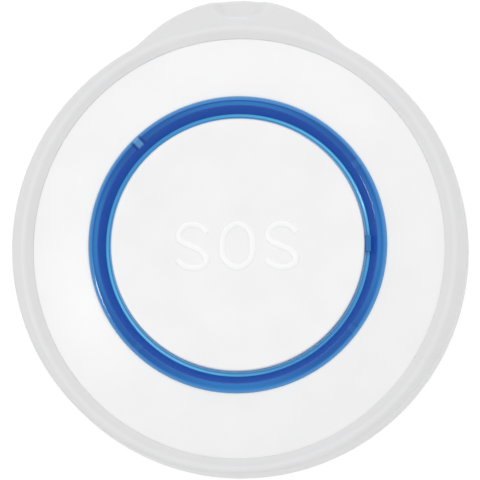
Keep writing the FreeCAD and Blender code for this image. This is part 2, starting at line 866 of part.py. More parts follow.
def make_coin_cell():
    body = new_body("coin_cell")
    corner = s.cell_edge_round * ARC_DEPTH
    cap_radius = s.cell_radius - s.cell_cap_inset
    spun(body, "can", [
        (0, cell_base_z),
        (s.cell_radius - s.cell_edge_round, cell_base_z, s.cell_radius - corner, cell_base_z + corner),
        (s.cell_radius, cell_base_z + s.cell_edge_round),
        (s.cell_radius, cell_top_z - s.cell_step),
        (cap_radius + s.cell_step, cell_top_z - s.cell_step),
        (cap_radius, cell_top_z),
        (0, cell_top_z),
    ])
    return body


def bent_strip(name, corners):
    """A strip of spring metal: its side outline, made as wide as the contact."""
    body = new_body(name)
    sketch = new_sketch(body, "leaf_section", "XZ_Plane")
    draw_outline(sketch, corners)
    leaf = body.newObject("PartDesign::Pad", "leaf")
    leaf.Profile = sketch
    bind(leaf, "Length", s.contact_width)
    leaf.Midplane = True
    return body


def make_positive_contact():
    """Leaf that is soldered under the board and presses on the cell's side."""
    touch = s.cell_radius + s.touch_gap
    root = touch + s.contact_spring
    outside = root + s.contact_thick
    foot_base_z = board_base_z - s.contact_thick
    knee_z = cell_top_z - s.cell_height * 0.2
    touch_z = cell_base_z + s.cell_height * 0.6
    tip_z = cell_base_z + s.cell_height * 0.4
    return bent_strip("positive_contact", [
        (root, board_base_z),
        (root, knee_z),
        (touch, touch_z),
        (root - s.contact_thick, tip_z),
        (root, tip_z),
        (touch + s.contact_thick * 1.3, touch_z),
        (outside, knee_z),
        (outside, foot_base_z),
        (outside + s.contact_foot, foot_base_z),
        (outside + s.contact_foot, board_base_z),
    ])


def make_negative_contact():
    """Bowed leaf under the board that presses on the cell's cap."""
    thick = s.contact_thick
    foot_base_z = board_base_z - thick
    touch_z = cell_top_z + s.touch_gap
    tip_z = (touch_z + foot_base_z) / 2
    return bent_strip("negative_contact", [
        (-s.contact_arm - s.contact_foot, board_base_z),
        (-s.contact_arm - s.contact_foot, foot_base_z),
        (-s.contact_arm, foot_base_z),
        (0, touch_z),
        (s.contact_arm / 3, touch_z),
        (s.contact_arm * 0.7, tip_z),
        (s.contact_arm * 0.7, tip_z + thick),
        (s.contact_arm / 3, touch_z + thick),
        (thick / 4, touch_z + thick),
        (thick / 2 - s.contact_arm, board_base_z),
    ])


# Battery cover: a coin-turned bayonet lid with a seal


def make_battery_cover():
    body = new_body("battery_cover")
    groove_height = s.lid_seal_cord + s.touch_gap
    groove_base = s.lid_recess + (s.lid_thick - groove_height) / 2
    groove_radius = lid_bore - s.lid_seal_cord - s.touch_gap * 2
    support_top = cell_base_z - s.stop_gap
    support_radius = s.cell_radius - s.support_inset
    support_outer = support_radius + s.collar_thick
    spun(body, "lid", [
        (0, s.lid_recess),
        (lid_radius - s.mouth_break, s.lid_recess),
        (lid_radius, s.lid_recess + s.mouth_break),
        (lid_radius, groove_base),
        (groove_radius, groove_base),
        (groove_radius, groove_base + groove_height),
        (lid_radius, groove_base + groove_height),
        (lid_radius, lid_inner_z),
        (collar_radius, lid_inner_z),
        (collar_radius, tab_top_z),
        (collar_inner_radius, tab_top_z),
        (collar_inner_radius, lid_inner_z),
        (support_outer, lid_inner_z),
        (support_outer, support_top),
        (support_radius, support_top),
        (support_radius, lid_inner_z),
        (0, lid_inner_z),
    ])
    tab_corners = sector(collar_radius - s.collar_thick / 2, tab_radius, s.tab_half_angle)
    tab = raised(body, "bayonet_tab", lambda sketch: draw_outline(sketch, tab_corners),
                 tab_base_z, s.tab_height, TAB_START_ANGLE)
    repeated(body, "bayonet_tabs", tab, 3)
    sunk(body, "coin_slot", coin_slot_outline, s.lid_recess - CUT_PAST, s.coin_slot_depth + CUT_PAST)
    return body


def coin_slot_outline(sketch):
    draw_long_hole(sketch, s.coin_slot_length, s.coin_slot_width, as_size(0))


def make_battery_cover_seal():
    body = new_body("battery_cover_seal")
    middle_z = s.lid_recess + s.lid_thick / 2
    spun(body, "seal_ring", seal_section(lid_bore - s.touch_gap, middle_z, s.lid_seal_cord))
    return body


PIECES = [
    make_rear_housing(),
    make_front_cover(),
    make_cover_seal(),
    make_light_ring(),
    make_button_cap(),
    make_button_boot(),
    make_switch_body(),
    make_switch_plunger(),
    make_circuit_board(),
    make_chips("status_leds", leg_radius, LEG_ANGLES, s.small_width, s.small_length, s.led_height),
    make_chips(
        "radio_chip", chip_circle, (235,), s.chip_side, s.chip_side, s.chip_height, below=True),
    make_chips(
        "controller_chip", chip_circle, (180,), s.chip_side, s.chip_side, s.chip_height, below=True),
    make_chips(
        "crystal", chip_circle, (256,), s.crystal_width, s.crystal_length, s.small_height, below=True),
    make_chips(
        "capacitors", part_circle, CAPACITOR_ANGLES, s.small_width, s.small_length, s.small_height),
    make_chips(
        "resistors", part_circle, RESISTOR_ANGLES, s.small_width, s.small_length, s.small_height * 0.6),
    make_loop_antenna(),
    make_board_screws(),
    make_coin_cell(),
    make_positive_contact(),
    make_negative_contact(),
    make_battery_cover(),
    make_battery_cover_seal(),
]
doc.recompute()

for item in doc.Objects:
    if "Invalid" in item.State or "Error" in item.State:
        raise RuntimeError(f"{item.Name} failed: {item.State}")
os.makedirs("parts", exist_ok=True)
for piece in PIECES:
    if piece.Shape.isNull() or not piece.Shape.isValid():
        raise RuntimeError(f"{piece.Label} has no valid shape")
for piece in PIECES:
    piece.Shape.exportStep(f"parts/{piece.Label}.step")
    print(piece.Label, len(piece.Shape.Solids), round(piece.Shape.Volume, 2))
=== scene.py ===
import math

import bpy
from mathutils import Matrix, Vector


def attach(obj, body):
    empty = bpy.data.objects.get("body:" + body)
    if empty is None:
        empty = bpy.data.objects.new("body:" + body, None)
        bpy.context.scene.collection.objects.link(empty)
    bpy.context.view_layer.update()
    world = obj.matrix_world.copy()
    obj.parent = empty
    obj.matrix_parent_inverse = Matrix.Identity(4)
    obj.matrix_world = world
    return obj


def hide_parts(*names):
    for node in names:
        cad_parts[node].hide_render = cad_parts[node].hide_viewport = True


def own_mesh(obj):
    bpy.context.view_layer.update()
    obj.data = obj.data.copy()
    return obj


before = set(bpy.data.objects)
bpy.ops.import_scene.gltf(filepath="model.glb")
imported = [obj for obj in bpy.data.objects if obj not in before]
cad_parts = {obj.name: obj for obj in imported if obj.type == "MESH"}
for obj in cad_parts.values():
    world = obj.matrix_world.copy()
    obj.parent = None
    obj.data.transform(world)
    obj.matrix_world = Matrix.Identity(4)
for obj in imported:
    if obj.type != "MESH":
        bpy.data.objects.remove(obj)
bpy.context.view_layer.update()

# A round wireless panic button. Sizes are in millimetres until a mesh is made.
# The back lies at z = 0, the button's axis is Z and the lanyard lug points to +Y.
MM = 0.001
SEGMENTS = 256
SMOOTH_ANGLE = 32
POLE_RADIUS = 0.002


# Rear housing: outline, rim and lug

BODY_RADIUS = 22.8
EDGE_RADIUS = 20.72
EDGE_ACROSS = 20.62
EDGE_ALONG = 21.15
EDGE_MIDDLE_Y = -0.15
CREST_RADIUS = 21.71
CREST_Z = 9.8
CREST_ROUND = 0.8
RIM_INNER_SLOPE = 9.0
RIM_OUTER_SLOPE = 20.0
RIM_ROUND = 0.4
BACK_ROUND = 4.6
LUG_REACH = 25.2
LUG_TIP_RADIUS = 13.3
LUG_BLEND = 9.0
SEAT_Z = 8.5
CAVITY_RADIUS = 20.16
SLOT_LENGTH = 3.8
SLOT_INNER_Y = 22.15
SLOT_OUTER_Y = 23.2
SLOT_TOP_Z = 9.05
TROUGH_INNER_Y = 23.36
TROUGH_FLARE = 1.35
TROUGH_SOFTNESS = 0.2
BAR_FALL = 0.3
TROUGH_CORNER = 1.3
BAR_TOP_Z = 8.35
WALL_STEEPNESS = 1.9
RECESS_EDGE = 0.45
LUG_CROWDING = 0.6
WALL_RINGS = 5
RIM_RINGS = 6
FALL_RINGS = 44

# Rear housing: snap groove and battery well
GROOVE_RADIUS = CAVITY_RADIUS + 0.22
CAVITY_ROUND = 3.0
BACK_INNER_RADIUS = 14.46
PULL_START = 16.3
LID_BORE = 14.26
BAYONET_BORE = 13.35
BAYONET_BASE_Z = 1.55
BAYONET_TOP_Z = 2.4
WELL_RADIUS = 14.15
WELL_OUTER_RADIUS = 15.0
WELL_TOP_Z = 7.0
WELL_FLOOR_Z = 1.6

# Front disc, ring, button and boot
COVER_RADIUS = EDGE_RADIUS
COVER_EDGE_Z = 9.6
COVER_TOP_Z = 11.1
COVER_EDGE_ROUND = 0.06
DOME_MIDDLE = (17.74, COVER_EDGE_Z + 0.89)
EDGE_STEPS = 3
SKIRT_RADIUS = 20.08
SKIRT_INNER = 18.98
SKIRT_BASE_Z = 6.9
BEAD_RADIUS = 20.3
SEAL_GROOVE_RADIUS = 19.6
SCREW_CIRCLE = 16.6
POST_RADIUS = 1.5
RING_RADIUS = 14.9
RING_BORE = 12.7
RING_TOP_Z = 11.42
RING_ROUND = 0.42
LEDGE_TOP_Z = 10.22
LEDGE_BASE_Z = 9.32
LEDGE_BORE = 13.64
BUTTON_RADIUS = 12.67
BUTTON_TOP_Z = 11.22
BUTTON_ROUND = 0.2
FLANGE_RADIUS = 13.34
FLANGE_INNER = 11.82
FLANGE_BASE_Z = 9.67
FLANGE_TOP_Z = 10.17
PLATE_BASE_Z = 10.07
BOSS_RADIUS = 2.2
BOSS_BASE_Z = 9.77
BOARD_TOP_Z = 8.2
BOOT_TOP_Z = 9.75
BOOT_SHEET = 0.28
BOOT_PAD_RADIUS = 4.6
BOOT_FOOT_INNER = 9.0
BOOT_FOOT_RADIUS = 10.2
BOOT_FOOT_HEIGHT = 0.4
LEG_RADIUS = 14.27
LEG_ANGLES = (34, 134, 226, 323)

# Battery lid
LID_RADIUS = 14.1
LID_FACE_Z = 0.3
LID_TOP_Z = 1.5
LID_SEAL_RADIUS = 13.58
COLLAR_RADIUS = 13.25
COLLAR_INNER = 12.5
COLLAR_TOP_Z = 3.2


# Modelling helpers


def arc(centre_radius, centre_z, radius, start, end, steps):
    """Points of an arc in a section, from one angle to another in degrees, both ends included."""
    points = []
    for step in range(steps + 1):
        angle = math.radians(start + (end - start) * step / steps)
        points.append((centre_radius + radius * math.cos(angle), centre_z + radius * math.sin(angle)))
    return points


def circle_through(a, b, c):
    """Centre and radius of the circle through three points of a section."""
    (ax, ay), (bx, by), (cx, cy) = a, b, c
    d = 2 * (ax * (by - cy) + bx * (cy - ay) + cx * (ay - by))
    ux = ((ax**2 + ay**2) * (by - cy) + (bx**2 + by**2) * (cy - ay) + (cx**2 + cy**2) * (ay - by)) / d
    uy = ((ax**2 + ay**2) * (cx - bx) + (bx**2 + by**2) * (ax - cx) + (cx**2 + cy**2) * (bx - ax)) / d
    return ux, uy, math.hypot(ax - ux, ay - uy)


def arc_through(a, b, c, steps):
    """Points of the arc through three points of a section."""
    cx, cy, radius = circle_through(a, b, c)
    angles = [math.degrees(math.atan2(y - cy, x - cx)) for x, y in (a, b, c)]
    return arc(cx, cy, radius, angles[0], angles[2], steps)


def start_fresh():
    """Leave edit mode and deselect everything."""
    if bpy.context.object and bpy.context.object.mode != "OBJECT":
        bpy.ops.object.mode_set(mode="OBJECT")
    bpy.ops.object.select_all(action="DESELECT")


def named(name):
    """The active object, with its mesh, under a name."""
    piece = bpy.context.object
    piece.name = name
    piece.data.name = name
    return piece


def close_up(piece, smooth_angle=SMOOTH_ANGLE):
    """Merge doubles, turn the faces outwards and shade the piece smooth up to an angle."""
    bpy.ops.mesh.select_all(action="SELECT")
    bpy.ops.mesh.remove_doubles(threshold=0.0005 * MM)
    bpy.ops.mesh.normals_make_consistent(inside=False)
    bpy.ops.object.mode_set(mode="OBJECT")
    bpy.ops.object.shade_smooth_by_angle(angle=math.radians(smooth_angle))
    return piece


def turned(name, section, segments=SEGMENTS, reshape=None):
    """A turned piece: a circle that is extruded and resized along a section of (radius, z) points.
    The section may start and end on the axis, or end where it started. reshape may move each
    vertex, given its place in the section and its angle."""
    start_fresh()
    radius, height = max(section[0][0], POLE_RADIUS), section[0][1]
    bpy.ops.mesh.primitive_circle_add(vertices=segments, radius=radius * MM, enter_editmode=True)
    bpy.ops.transform.translate(value=(0, 0, height * MM))
    for next_radius, next_height in section[1:]:
        next_radius = max(next_radius, POLE_RADIUS)
        bpy.ops.mesh.extrude_region_move(
            TRANSFORM_OT_translate={"value": (0, 0, (next_height - height) * MM)})
        growth = next_radius / radius
        bpy.ops.transform.resize(
            value=(growth, growth, 1), center_override=(0, 0, next_height * MM))
        radius, height = next_radius, next_height
    piece = named(name)
    if reshape:
        bpy.ops.object.mode_set(mode="OBJECT")
        for vertex in piece.data.vertices:
            moved = reshape(vertex.index // segments, math.atan2(vertex.co.y, vertex.co.x))
            vertex.co = Vector(moved) * MM
        bpy.ops.object.mode_set(mode="EDIT")
    for end_radius, end_height in (section[0], section[-1]):
        if end_radius < POLE_RADIUS:
            merge_pole(piece, end_height)
    return close_up(piece)


def merge_pole(piece, height):
    """Close the tiny hole that a turned piece leaves on its axis at a height."""
    pick_points(piece, lambda p: p.xy.length < 0.01 * MM and abs(p.z - height * MM) < 0.01 * MM)
    bpy.ops.mesh.merge(type="CENTER")


def pick_points(piece, test):
    """Select the vertices that pass a test on their place, and go on in edit mode."""
    bpy.ops.object.mode_set(mode="EDIT")
    bpy.ops.mesh.select_mode(type="VERT")
    bpy.ops.mesh.select_all(action="DESELECT")
    bpy.ops.object.mode_set(mode="OBJECT")
    for vertex in piece.data.vertices:
        vertex.select = test(vertex.co)
    bpy.ops.object.mode_set(mode="EDIT")


def cut_away(piece, *cutters):
    """Take cutters out of a piece and throw them away."""
    cutter = cutters[0]
    for other in cutters[1:]:
        add_part(cutter, other)
    start_fresh()
    piece.select_set(True)
    bpy.context.view_layer.objects.active = piece
    cut = piece.modifiers.new("cut", "BOOLEAN")
    cut.operation = "DIFFERENCE"
    cut.solver = "EXACT"
    cut.object = cutter
    bpy.ops.object.modifier_apply(modifier=cut.name)
    bpy.data.objects.remove(cutter)
    bpy.ops.object.shade_smooth_by_angle(angle=math.radians(SMOOTH_ANGLE))


def add_part(piece, part):
    """Join another mesh to a piece."""
    start_fresh()
    piece.select_set(True)
    part.select_set(True)
    bpy.context.view_layer.objects.active = piece
    bpy.ops.object.join()
    return piece


def post(radius, base, top, distance, angle):
    """An upright post at a distance from the Z axis and an angle round it, in degrees."""
    start_fresh()
    bpy.ops.mesh.primitive_cylinder_add(
        vertices=48, radius=radius * MM, depth=(top - base) * MM, end_fill_type="NGON", enter_editmode=True)
    bpy.ops.transform.translate(value=(distance * MM, 0, (base + top) / 2 * MM))
    bpy.ops.object.mode_set(mode="OBJECT")
    bpy.ops.object.shade_smooth_by_angle(angle=math.radians(SMOOTH_ANGLE))
    column = named("post")
    turn_about_axis(column, angle)
    return column


def long_hole_cutter(length, width, centre_y, base, top):
    """A bar with round ends along X, as a cutter."""
    start_fresh()
    straight = (length - width) / 2
    bpy.ops.mesh.primitive_cylinder_add(
        vertices=64, radius=width / 2 * MM, depth=(top - base) * MM, enter_editmode=True,
        end_fill_type="NGON")
    bpy.ops.transform.translate(value=(0, centre_y * MM, (base + top) / 2 * MM))
    cutter = named("cutter")
    for side in (-1, 1):
        pick_points(cutter, lambda p: p.x * side > 1e-6)
        bpy.ops.transform.translate(value=(side * straight * MM, 0, 0))
    bpy.ops.object.mode_set(mode="OBJECT")
    return cutter


def block(width, length, base, top, radius, angle):
    """An upright block with its middle at a radius and an angle round the Z axis, in degrees."""
    start_fresh()
    bpy.ops.mesh.primitive_cube_add(size=MM, enter_editmode=True)
    bpy.ops.transform.resize(value=(width, length, top - base))
    bpy.ops.transform.translate(value=(radius * MM, 0, (base + top) / 2 * MM))
    bpy.ops.object.mode_set(mode="OBJECT")
    solid = named("block")
    turn_about_axis(solid, angle)
    return solid


def turn_about_axis(piece, angle):
    """Turn a mesh about the Z axis, in degrees."""
    turn = math.radians(angle)
    for vertex in piece.data.vertices:
        x, y = vertex.co.xy
        vertex.co.x = x * math.cos(turn) - y * math.sin(turn)
        vertex.co.y = x * math.sin(turn) + y * math.cos(turn)


# Rear housing: frosted shell with the rim, the lug, its flared recess and the battery well


def outline_reach(angle):
    """How far the housing reaches in a direction, with the lug and its two concave blends."""
    away = Vector((math.cos(angle), math.sin(angle)))
    lug_y = LUG_REACH - LUG_TIP_RADIUS
    far_body, far_lug = BODY_RADIUS + LUG_BLEND, LUG_TIP_RADIUS + LUG_BLEND
    blend_y = (far_body**2 - far_lug**2 + lug_y**2) / (2 * lug_y)
    blend_x = math.sqrt(far_body**2 - blend_y**2)
    off_axis = abs(math.atan2(away.x, away.y))
    body_touch = math.atan2(blend_x, blend_y)
    if off_axis >= body_touch:
        return BODY_RADIUS
    lug_touch = math.atan2(
        blend_x * LUG_TIP_RADIUS / far_lug, lug_y + (blend_y - lug_y) * LUG_TIP_RADIUS / far_lug)
    if off_axis >= lug_touch:
        centre = Vector((math.copysign(blend_x, away.x), blend_y))
        along = away.dot(centre)
        return along - math.sqrt(max(along**2 - centre.length_squared + LUG_BLEND**2, 0))
    centre = Vector((0, lug_y))
    along = away.dot(centre)
    return along + math.sqrt(along**2 - centre.length_squared + LUG_TIP_RADIUS**2)


def edge_reach(angle):
    """How far the front disc reaches in a direction: its edge is slightly taller than wide."""
    across, along = math.cos(angle) / EDGE_ACROSS, math.sin(angle) / EDGE_ALONG
    a = across**2 + along**2
    b = -along * EDGE_MIDDLE_Y / EDGE_ALONG
    c = (EDGE_MIDDLE_Y / EDGE_ALONG)**2 - 1
    return (-b + math.sqrt(b**2 - a * c)) / a


def soft_least(a, b, width):
    """The lesser of two heights, with a round corner between them."""
    blend = max(width - abs(a - b), 0) / width
    return min(a, b) - blend**2 * width / 4


def rim_profile(radius):
    """Height of the plain rim at a radius: two slopes that meet in a round crest."""
    slope = math.radians(RIM_OUTER_SLOPE if radius > CREST_RADIUS else RIM_INNER_SLOPE)
    away = abs(radius - CREST_RADIUS)
    tangent_away = CREST_ROUND * math.sin(slope)
    if away < tangent_away:
        return CREST_Z - CREST_ROUND + math.sqrt(CREST_ROUND**2 - away**2)
    return CREST_Z - CREST_ROUND * (1 - math.cos(slope)) - (away - tangent_away) * math.tan(slope)


def rim_height(x, y):
    """Height of the housing's front over a place: the rim, cut down by the lug's flared recess."""
    across = abs(x) - (SLOT_LENGTH / 2 - TROUGH_CORNER)
    inward = TROUGH_INNER_Y + TROUGH_CORNER - y
    outside = math.hypot(max(across, 0), max(inward, 0)) + min(max(across, inward), 0) - TROUGH_CORNER
    steep = (CREST_Z - BAR_TOP_Z) / TROUGH_FLARE
    steep += WALL_STEEPNESS * min(max(inward, 0) / TROUGH_CORNER, 1)**2
    recess = BAR_TOP_Z - BAR_FALL * (y - TROUGH_INNER_Y)
    recess += steep * (outside + math.hypot(outside, TROUGH_SOFTNESS)) / 2
    crest_shift = edge_reach(math.atan2(y, x)) - EDGE_RADIUS
    return soft_least(rim_profile(math.hypot(x, y) - crest_shift), recess, RECESS_EDGE)


def housing_section():
    """The plain section of the housing, as named runs of (radius, z) points."""
    back = [(BACK_INNER_RADIUS, 0.0), (PULL_START, 0.0)]
    back += arc(BODY_RADIUS - BACK_ROUND, BACK_ROUND, BACK_ROUND, -90, 0, 14)
    wall_top = CREST_Z - RIM_ROUND
    wall = [
        (BODY_RADIUS, BACK_ROUND + (wall_top - BACK_ROUND) * ring / WALL_RINGS)
        for ring in range(1, WALL_RINGS + 1)]
    rim = arc(BODY_RADIUS - RIM_ROUND, wall_top, RIM_ROUND, 0, 90, RIM_RINGS)[1:]
    fall_start = BODY_RADIUS - RIM_ROUND
    fall = [
        (fall_start + (EDGE_RADIUS - fall_start) * ring / FALL_RINGS, CREST_Z)
        for ring in range(1, FALL_RINGS + 1)]
    inside = [
        (EDGE_RADIUS, SEAT_Z), (CAVITY_RADIUS, SEAT_Z), (CAVITY_RADIUS, 7.56), (GROOVE_RADIUS, 7.36),
        (GROOVE_RADIUS, 7.24), (CAVITY_RADIUS, 7.04)]
    inside += arc(CAVITY_RADIUS - CAVITY_ROUND, 4.6, CAVITY_ROUND, 0, -90, 8)
    inside += [
        (WELL_OUTER_RADIUS, WELL_FLOOR_Z), (WELL_OUTER_RADIUS, WELL_TOP_Z), (WELL_RADIUS, WELL_TOP_Z),
        (WELL_RADIUS, BAYONET_TOP_Z), (BAYONET_BORE, BAYONET_TOP_Z), (BAYONET_BORE, BAYONET_BASE_Z),
        (LID_BORE, BAYONET_BASE_Z), (LID_BORE, 0.2), (BACK_INNER_RADIUS, 0.0)]
    return back, wall, rim, fall, inside


def make_housing_shell():
    """Frosted shell: a turned body whose columns are pulled out to the lug. The lanyard slot and the
    bayonet notches are cut out of it, and the ribs that hold the cell are joined on."""
    back, wall, rim, fall, inside = housing_section()
    section = back + wall + rim + fall + inside
    first_wall = len(back)
    first_rim = first_wall + len(wall)
    first_fall = first_rim + len(rim)
    first_inside = first_fall + len(fall)

    def column(angle):
        """The shell's outer points in one direction. The rim's round edge leans with the slope inside it."""
        reach = outline_reach(angle)

        def height(radius):
            return rim_height(radius * math.cos(angle), radius * math.sin(angle))

        tried, step = reach - RIM_ROUND * 0.7, 0.05
        slope = (height(tried - step) - height(tried + step)) / (step * 2)
        lean = min(max(math.atan(slope), 0), 1.0)
        end_radius = reach - RIM_ROUND + RIM_ROUND * math.sin(lean)
        centre_z = height(end_radius) - RIM_ROUND * math.cos(lean)
        points = []
        for radius, z in back:
            pull = min(max((radius - PULL_START) / (BODY_RADIUS - BACK_ROUND - PULL_START), 0), 1)
            points.append((radius + (reach - BODY_RADIUS) * pull, z))
        for ring in range(1, len(wall) + 1):
            points.append((reach, BACK_ROUND + (centre_z - BACK_ROUND) * ring / len(wall)))
        for ring in range(1, len(rim) + 1):
            swing = (math.pi / 2 - lean) * ring / len(rim)
            points.append((
                reach - RIM_ROUND + RIM_ROUND * math.cos(swing), centre_z + RIM_ROUND * math.sin(swing)))
        for ring in range(1, len(fall) + 1):
            radius = end_radius + (edge_reach(angle) - end_radius) * ring / len(fall)
            points.append((radius, height(radius)))
        points.append((edge_reach(angle), SEAT_Z))
        return points

    columns = {}

    def pulled(ring, angle):
        """Place of a vertex, with the columns crowded towards the lug, where the outline bends most."""
        away = math.atan2(math.sin(angle - math.pi / 2), math.cos(angle - math.pi / 2))
        turned_angle = math.pi / 2 + away - LUG_CROWDING * math.sin(away)
        key = round(angle, 6)
        if key not in columns:
            columns[key] = column(turned_angle)
        radius, z = columns[key][ring] if ring <= first_inside else section[ring]
        return radius * math.cos(turned_angle), radius * math.sin(turned_angle), z

    shell = turned("housing_shell", section, segments=560, reshape=pulled)
    slot = long_hole_cutter(
        SLOT_LENGTH, SLOT_OUTER_Y - SLOT_INNER_Y, (SLOT_INNER_Y + SLOT_OUTER_Y) / 2, -1, SLOT_TOP_Z)
    bayonet_notches = (block(1.1, 7.2, 1.4, 2.6, 13.6, 55 + 120 * turn) for turn in range(3))
    cut_away(shell, slot, *bayonet_notches)
    for turn in range(6):
        cell_rib = block(2.15, 1.0, 3.5, WELL_TOP_Z, 13.51, 30 + 60 * turn)
        add_part(shell, cell_rib)
    return shell


# Front pieces


def make_front_disc():
    """White domed disc with its skirt, snap bead, seal groove, ring seat and screw posts."""
    bore = RING_RADIUS
    edge = COVER_EDGE_ROUND
    top_start = COVER_RADIUS - edge
    dome = arc_through((top_start, COVER_EDGE_Z), DOME_MIDDLE, (bore + edge, COVER_TOP_Z), 24)
    section = arc(top_start, COVER_EDGE_Z - edge, edge, 0, 90, EDGE_STEPS)[:-1] + dome
    section += arc(bore + edge, COVER_TOP_Z - edge, edge, 90, 180, EDGE_STEPS)[1:]
    section += [
        (bore, LEDGE_TOP_Z), (LEDGE_BORE, LEDGE_TOP_Z), (LEDGE_BORE, LEDGE_BASE_Z), (bore, LEDGE_BASE_Z),
        (SKIRT_INNER, SEAT_Z), (SKIRT_INNER, SKIRT_BASE_Z), (SKIRT_RADIUS, SKIRT_BASE_Z),
        (SKIRT_RADIUS, 7.1), (BEAD_RADIUS, 7.3), (SKIRT_RADIUS, 7.5), (SKIRT_RADIUS, 7.6),
        (SEAL_GROOVE_RADIUS, 7.6), (SEAL_GROOVE_RADIUS, 8.3), (SKIRT_RADIUS, 8.3), (SKIRT_RADIUS, SEAT_Z),
        (COVER_RADIUS, SEAT_Z), (COVER_RADIUS, COVER_EDGE_Z - edge)]

    def widened(ring, angle):
        """Place of a vertex: the domed top widens from its bore out, and the rest only past the cavity."""
        radius, z = section[ring]
        share = min(max((radius - CAVITY_RADIUS) / (COVER_RADIUS - edge - CAVITY_RADIUS), 0), 1)
        if ring < len(dome) + EDGE_STEPS:
            share = min(max((radius - bore) / (COVER_RADIUS - bore), 0), 1)
        radius += (edge_reach(angle) - COVER_RADIUS) * share
        return radius * math.cos(angle), radius * math.sin(angle), z

    disc = turned("front_disc", section, reshape=widened)
    leg_openings = [block(0.92, 1.42, 9.1, 10.4, LEG_RADIUS, angle) for angle in LEG_ANGLES]
    key_notch = block(1.0, 1.72, 9.1, 10.4, LEDGE_BORE, 0)
    cut_away(disc, *leg_openings, key_notch)
    for turn in range(3):
        add_part(disc, post(POST_RADIUS, BOARD_TOP_Z, COVER_EDGE_Z, SCREW_CIRCLE, 90 + 120 * turn))
    return disc


def make_clear_ring():
    """Clear blue ring with a soft outer edge, a flat land, a bevelled inner wall and a groove floor,
    with the rib across the groove and the four light legs."""
    groove_z = RING_TOP_Z - 0.95
    section = [
        (RING_BORE, LEDGE_TOP_Z), (RING_RADIUS - 0.05, LEDGE_TOP_Z), (RING_RADIUS, LEDGE_TOP_Z + 0.05)]
    section += arc(RING_RADIUS - RING_ROUND, RING_TOP_Z - RING_ROUND, RING_ROUND, 0, 90, 8)
    section += arc_through((14.0, RING_TOP_Z), (13.92, RING_TOP_Z - 0.03), (13.87, RING_TOP_Z - 0.1), 5)
    section += [(RING_BORE + 0.46, groove_z + 0.03), (RING_BORE + 0.4, groove_z)]
    section += arc(RING_BORE + 0.05, groove_z - 0.05, 0.05, 90, 180, 3)
    section += [(RING_BORE, LEDGE_TOP_Z)]
    ring = turned("clear_ring", section, segments=384)
    groove_rib = block(0.55, 1.6, groove_z - 0.1, groove_z + 0.45, RING_BORE + 0.3, 0)
    add_part(ring, groove_rib)
    for angle in LEG_ANGLES:
        light_leg = block(0.8, 1.3, 9.17, LEDGE_TOP_Z + 0.05, LEG_RADIUS, angle)
        add_part(ring, light_leg)
    return ring


DISH_CIRCLE = circle_through(
    (0, BUTTON_TOP_Z - 0.16), (6.06, BUTTON_TOP_Z - 0.12), (12.12, BUTTON_TOP_Z))


def dish_height(radius):
    """Height of the button's dished face at a radius."""
    centre_radius, centre_z, bend = DISH_CIRCLE
    return centre_z - math.sqrt(bend**2 - (radius - centre_radius)**2)


def make_press_cap():
    """Dished button with a soft edge, and its stop flange, key and pressing boss below."""
    section = [(radius, dish_height(radius)) for radius in (0, 1.5, 3, 4.5, 6, 7.5, 9, 10, 11, 12)]
    section += arc(BUTTON_RADIUS - BUTTON_ROUND, BUTTON_TOP_Z - BUTTON_ROUND, BUTTON_ROUND, 90, 0, 8)
    section += [
        (BUTTON_RADIUS, FLANGE_TOP_Z), (FLANGE_RADIUS, FLANGE_TOP_Z), (FLANGE_RADIUS, FLANGE_BASE_Z),
        (FLANGE_INNER, FLANGE_BASE_Z), (FLANGE_INNER, PLATE_BASE_Z), (BOSS_RADIUS, PLATE_BASE_Z),
        (BOSS_RADIUS, BOSS_BASE_Z), (0, BOSS_BASE_Z)]
    key = block(1.1, 1.6, FLANGE_BASE_Z, FLANGE_TOP_Z, 13.49, 0)
    return add_part(turned("press_cap", section), key)


def make_silicone_boot():
    """Silicone dome that stands on the board and lifts the button."""
    foot_top = BOARD_TOP_Z + BOOT_FOOT_HEIGHT
    return turned("silicone_boot", [
        (0, BOOT_TOP_Z - BOOT_SHEET), (BOOT_PAD_RADIUS, BOOT_TOP_Z - BOOT_SHEET),
        (BOOT_FOOT_INNER, BOARD_TOP_Z + BOOT_FOOT_HEIGHT / 3), (BOOT_FOOT_INNER, BOARD_TOP_Z),
        (BOOT_FOOT_RADIUS, BOARD_TOP_Z), (BOOT_FOOT_RADIUS, foot_top),
        (BOOT_FOOT_INNER + BOOT_SHEET, foot_top), (BOOT_PAD_RADIUS + BOOT_SHEET, BOOT_TOP_Z),
        (0, BOOT_TOP_Z)])


LETTER_S = (
    (1.42, 1.33), (0.92, 1.84), (-0.10, 2.17), (-1.0, 1.86), (-1.42, 1.15), (-1.16, 0.5), (-0.36, 0.07),
    (0.5, -0.33), (1.15, -0.86), (1.38, -1.45), (0.95, -2.0), (0.05, -2.2), (-0.92, -1.95), (-1.6, -1.34))
LETTER_O = (
    (0, 2.18), (0.98, 1.72), (1.47, 0.8), (1.5, 0), (1.47, -0.8), (0.98, -1.72), (0, -2.18), (-0.98, -1.72),
    (-1.47, -0.8), (-1.5, 0), (-1.47, 0.8), (-0.98, 1.72))
LETTER_PITCH = 4.46
LETTER_DROP = 0.13
LETTER_STROKE = 0.62
LETTER_FLATNESS = 0.42


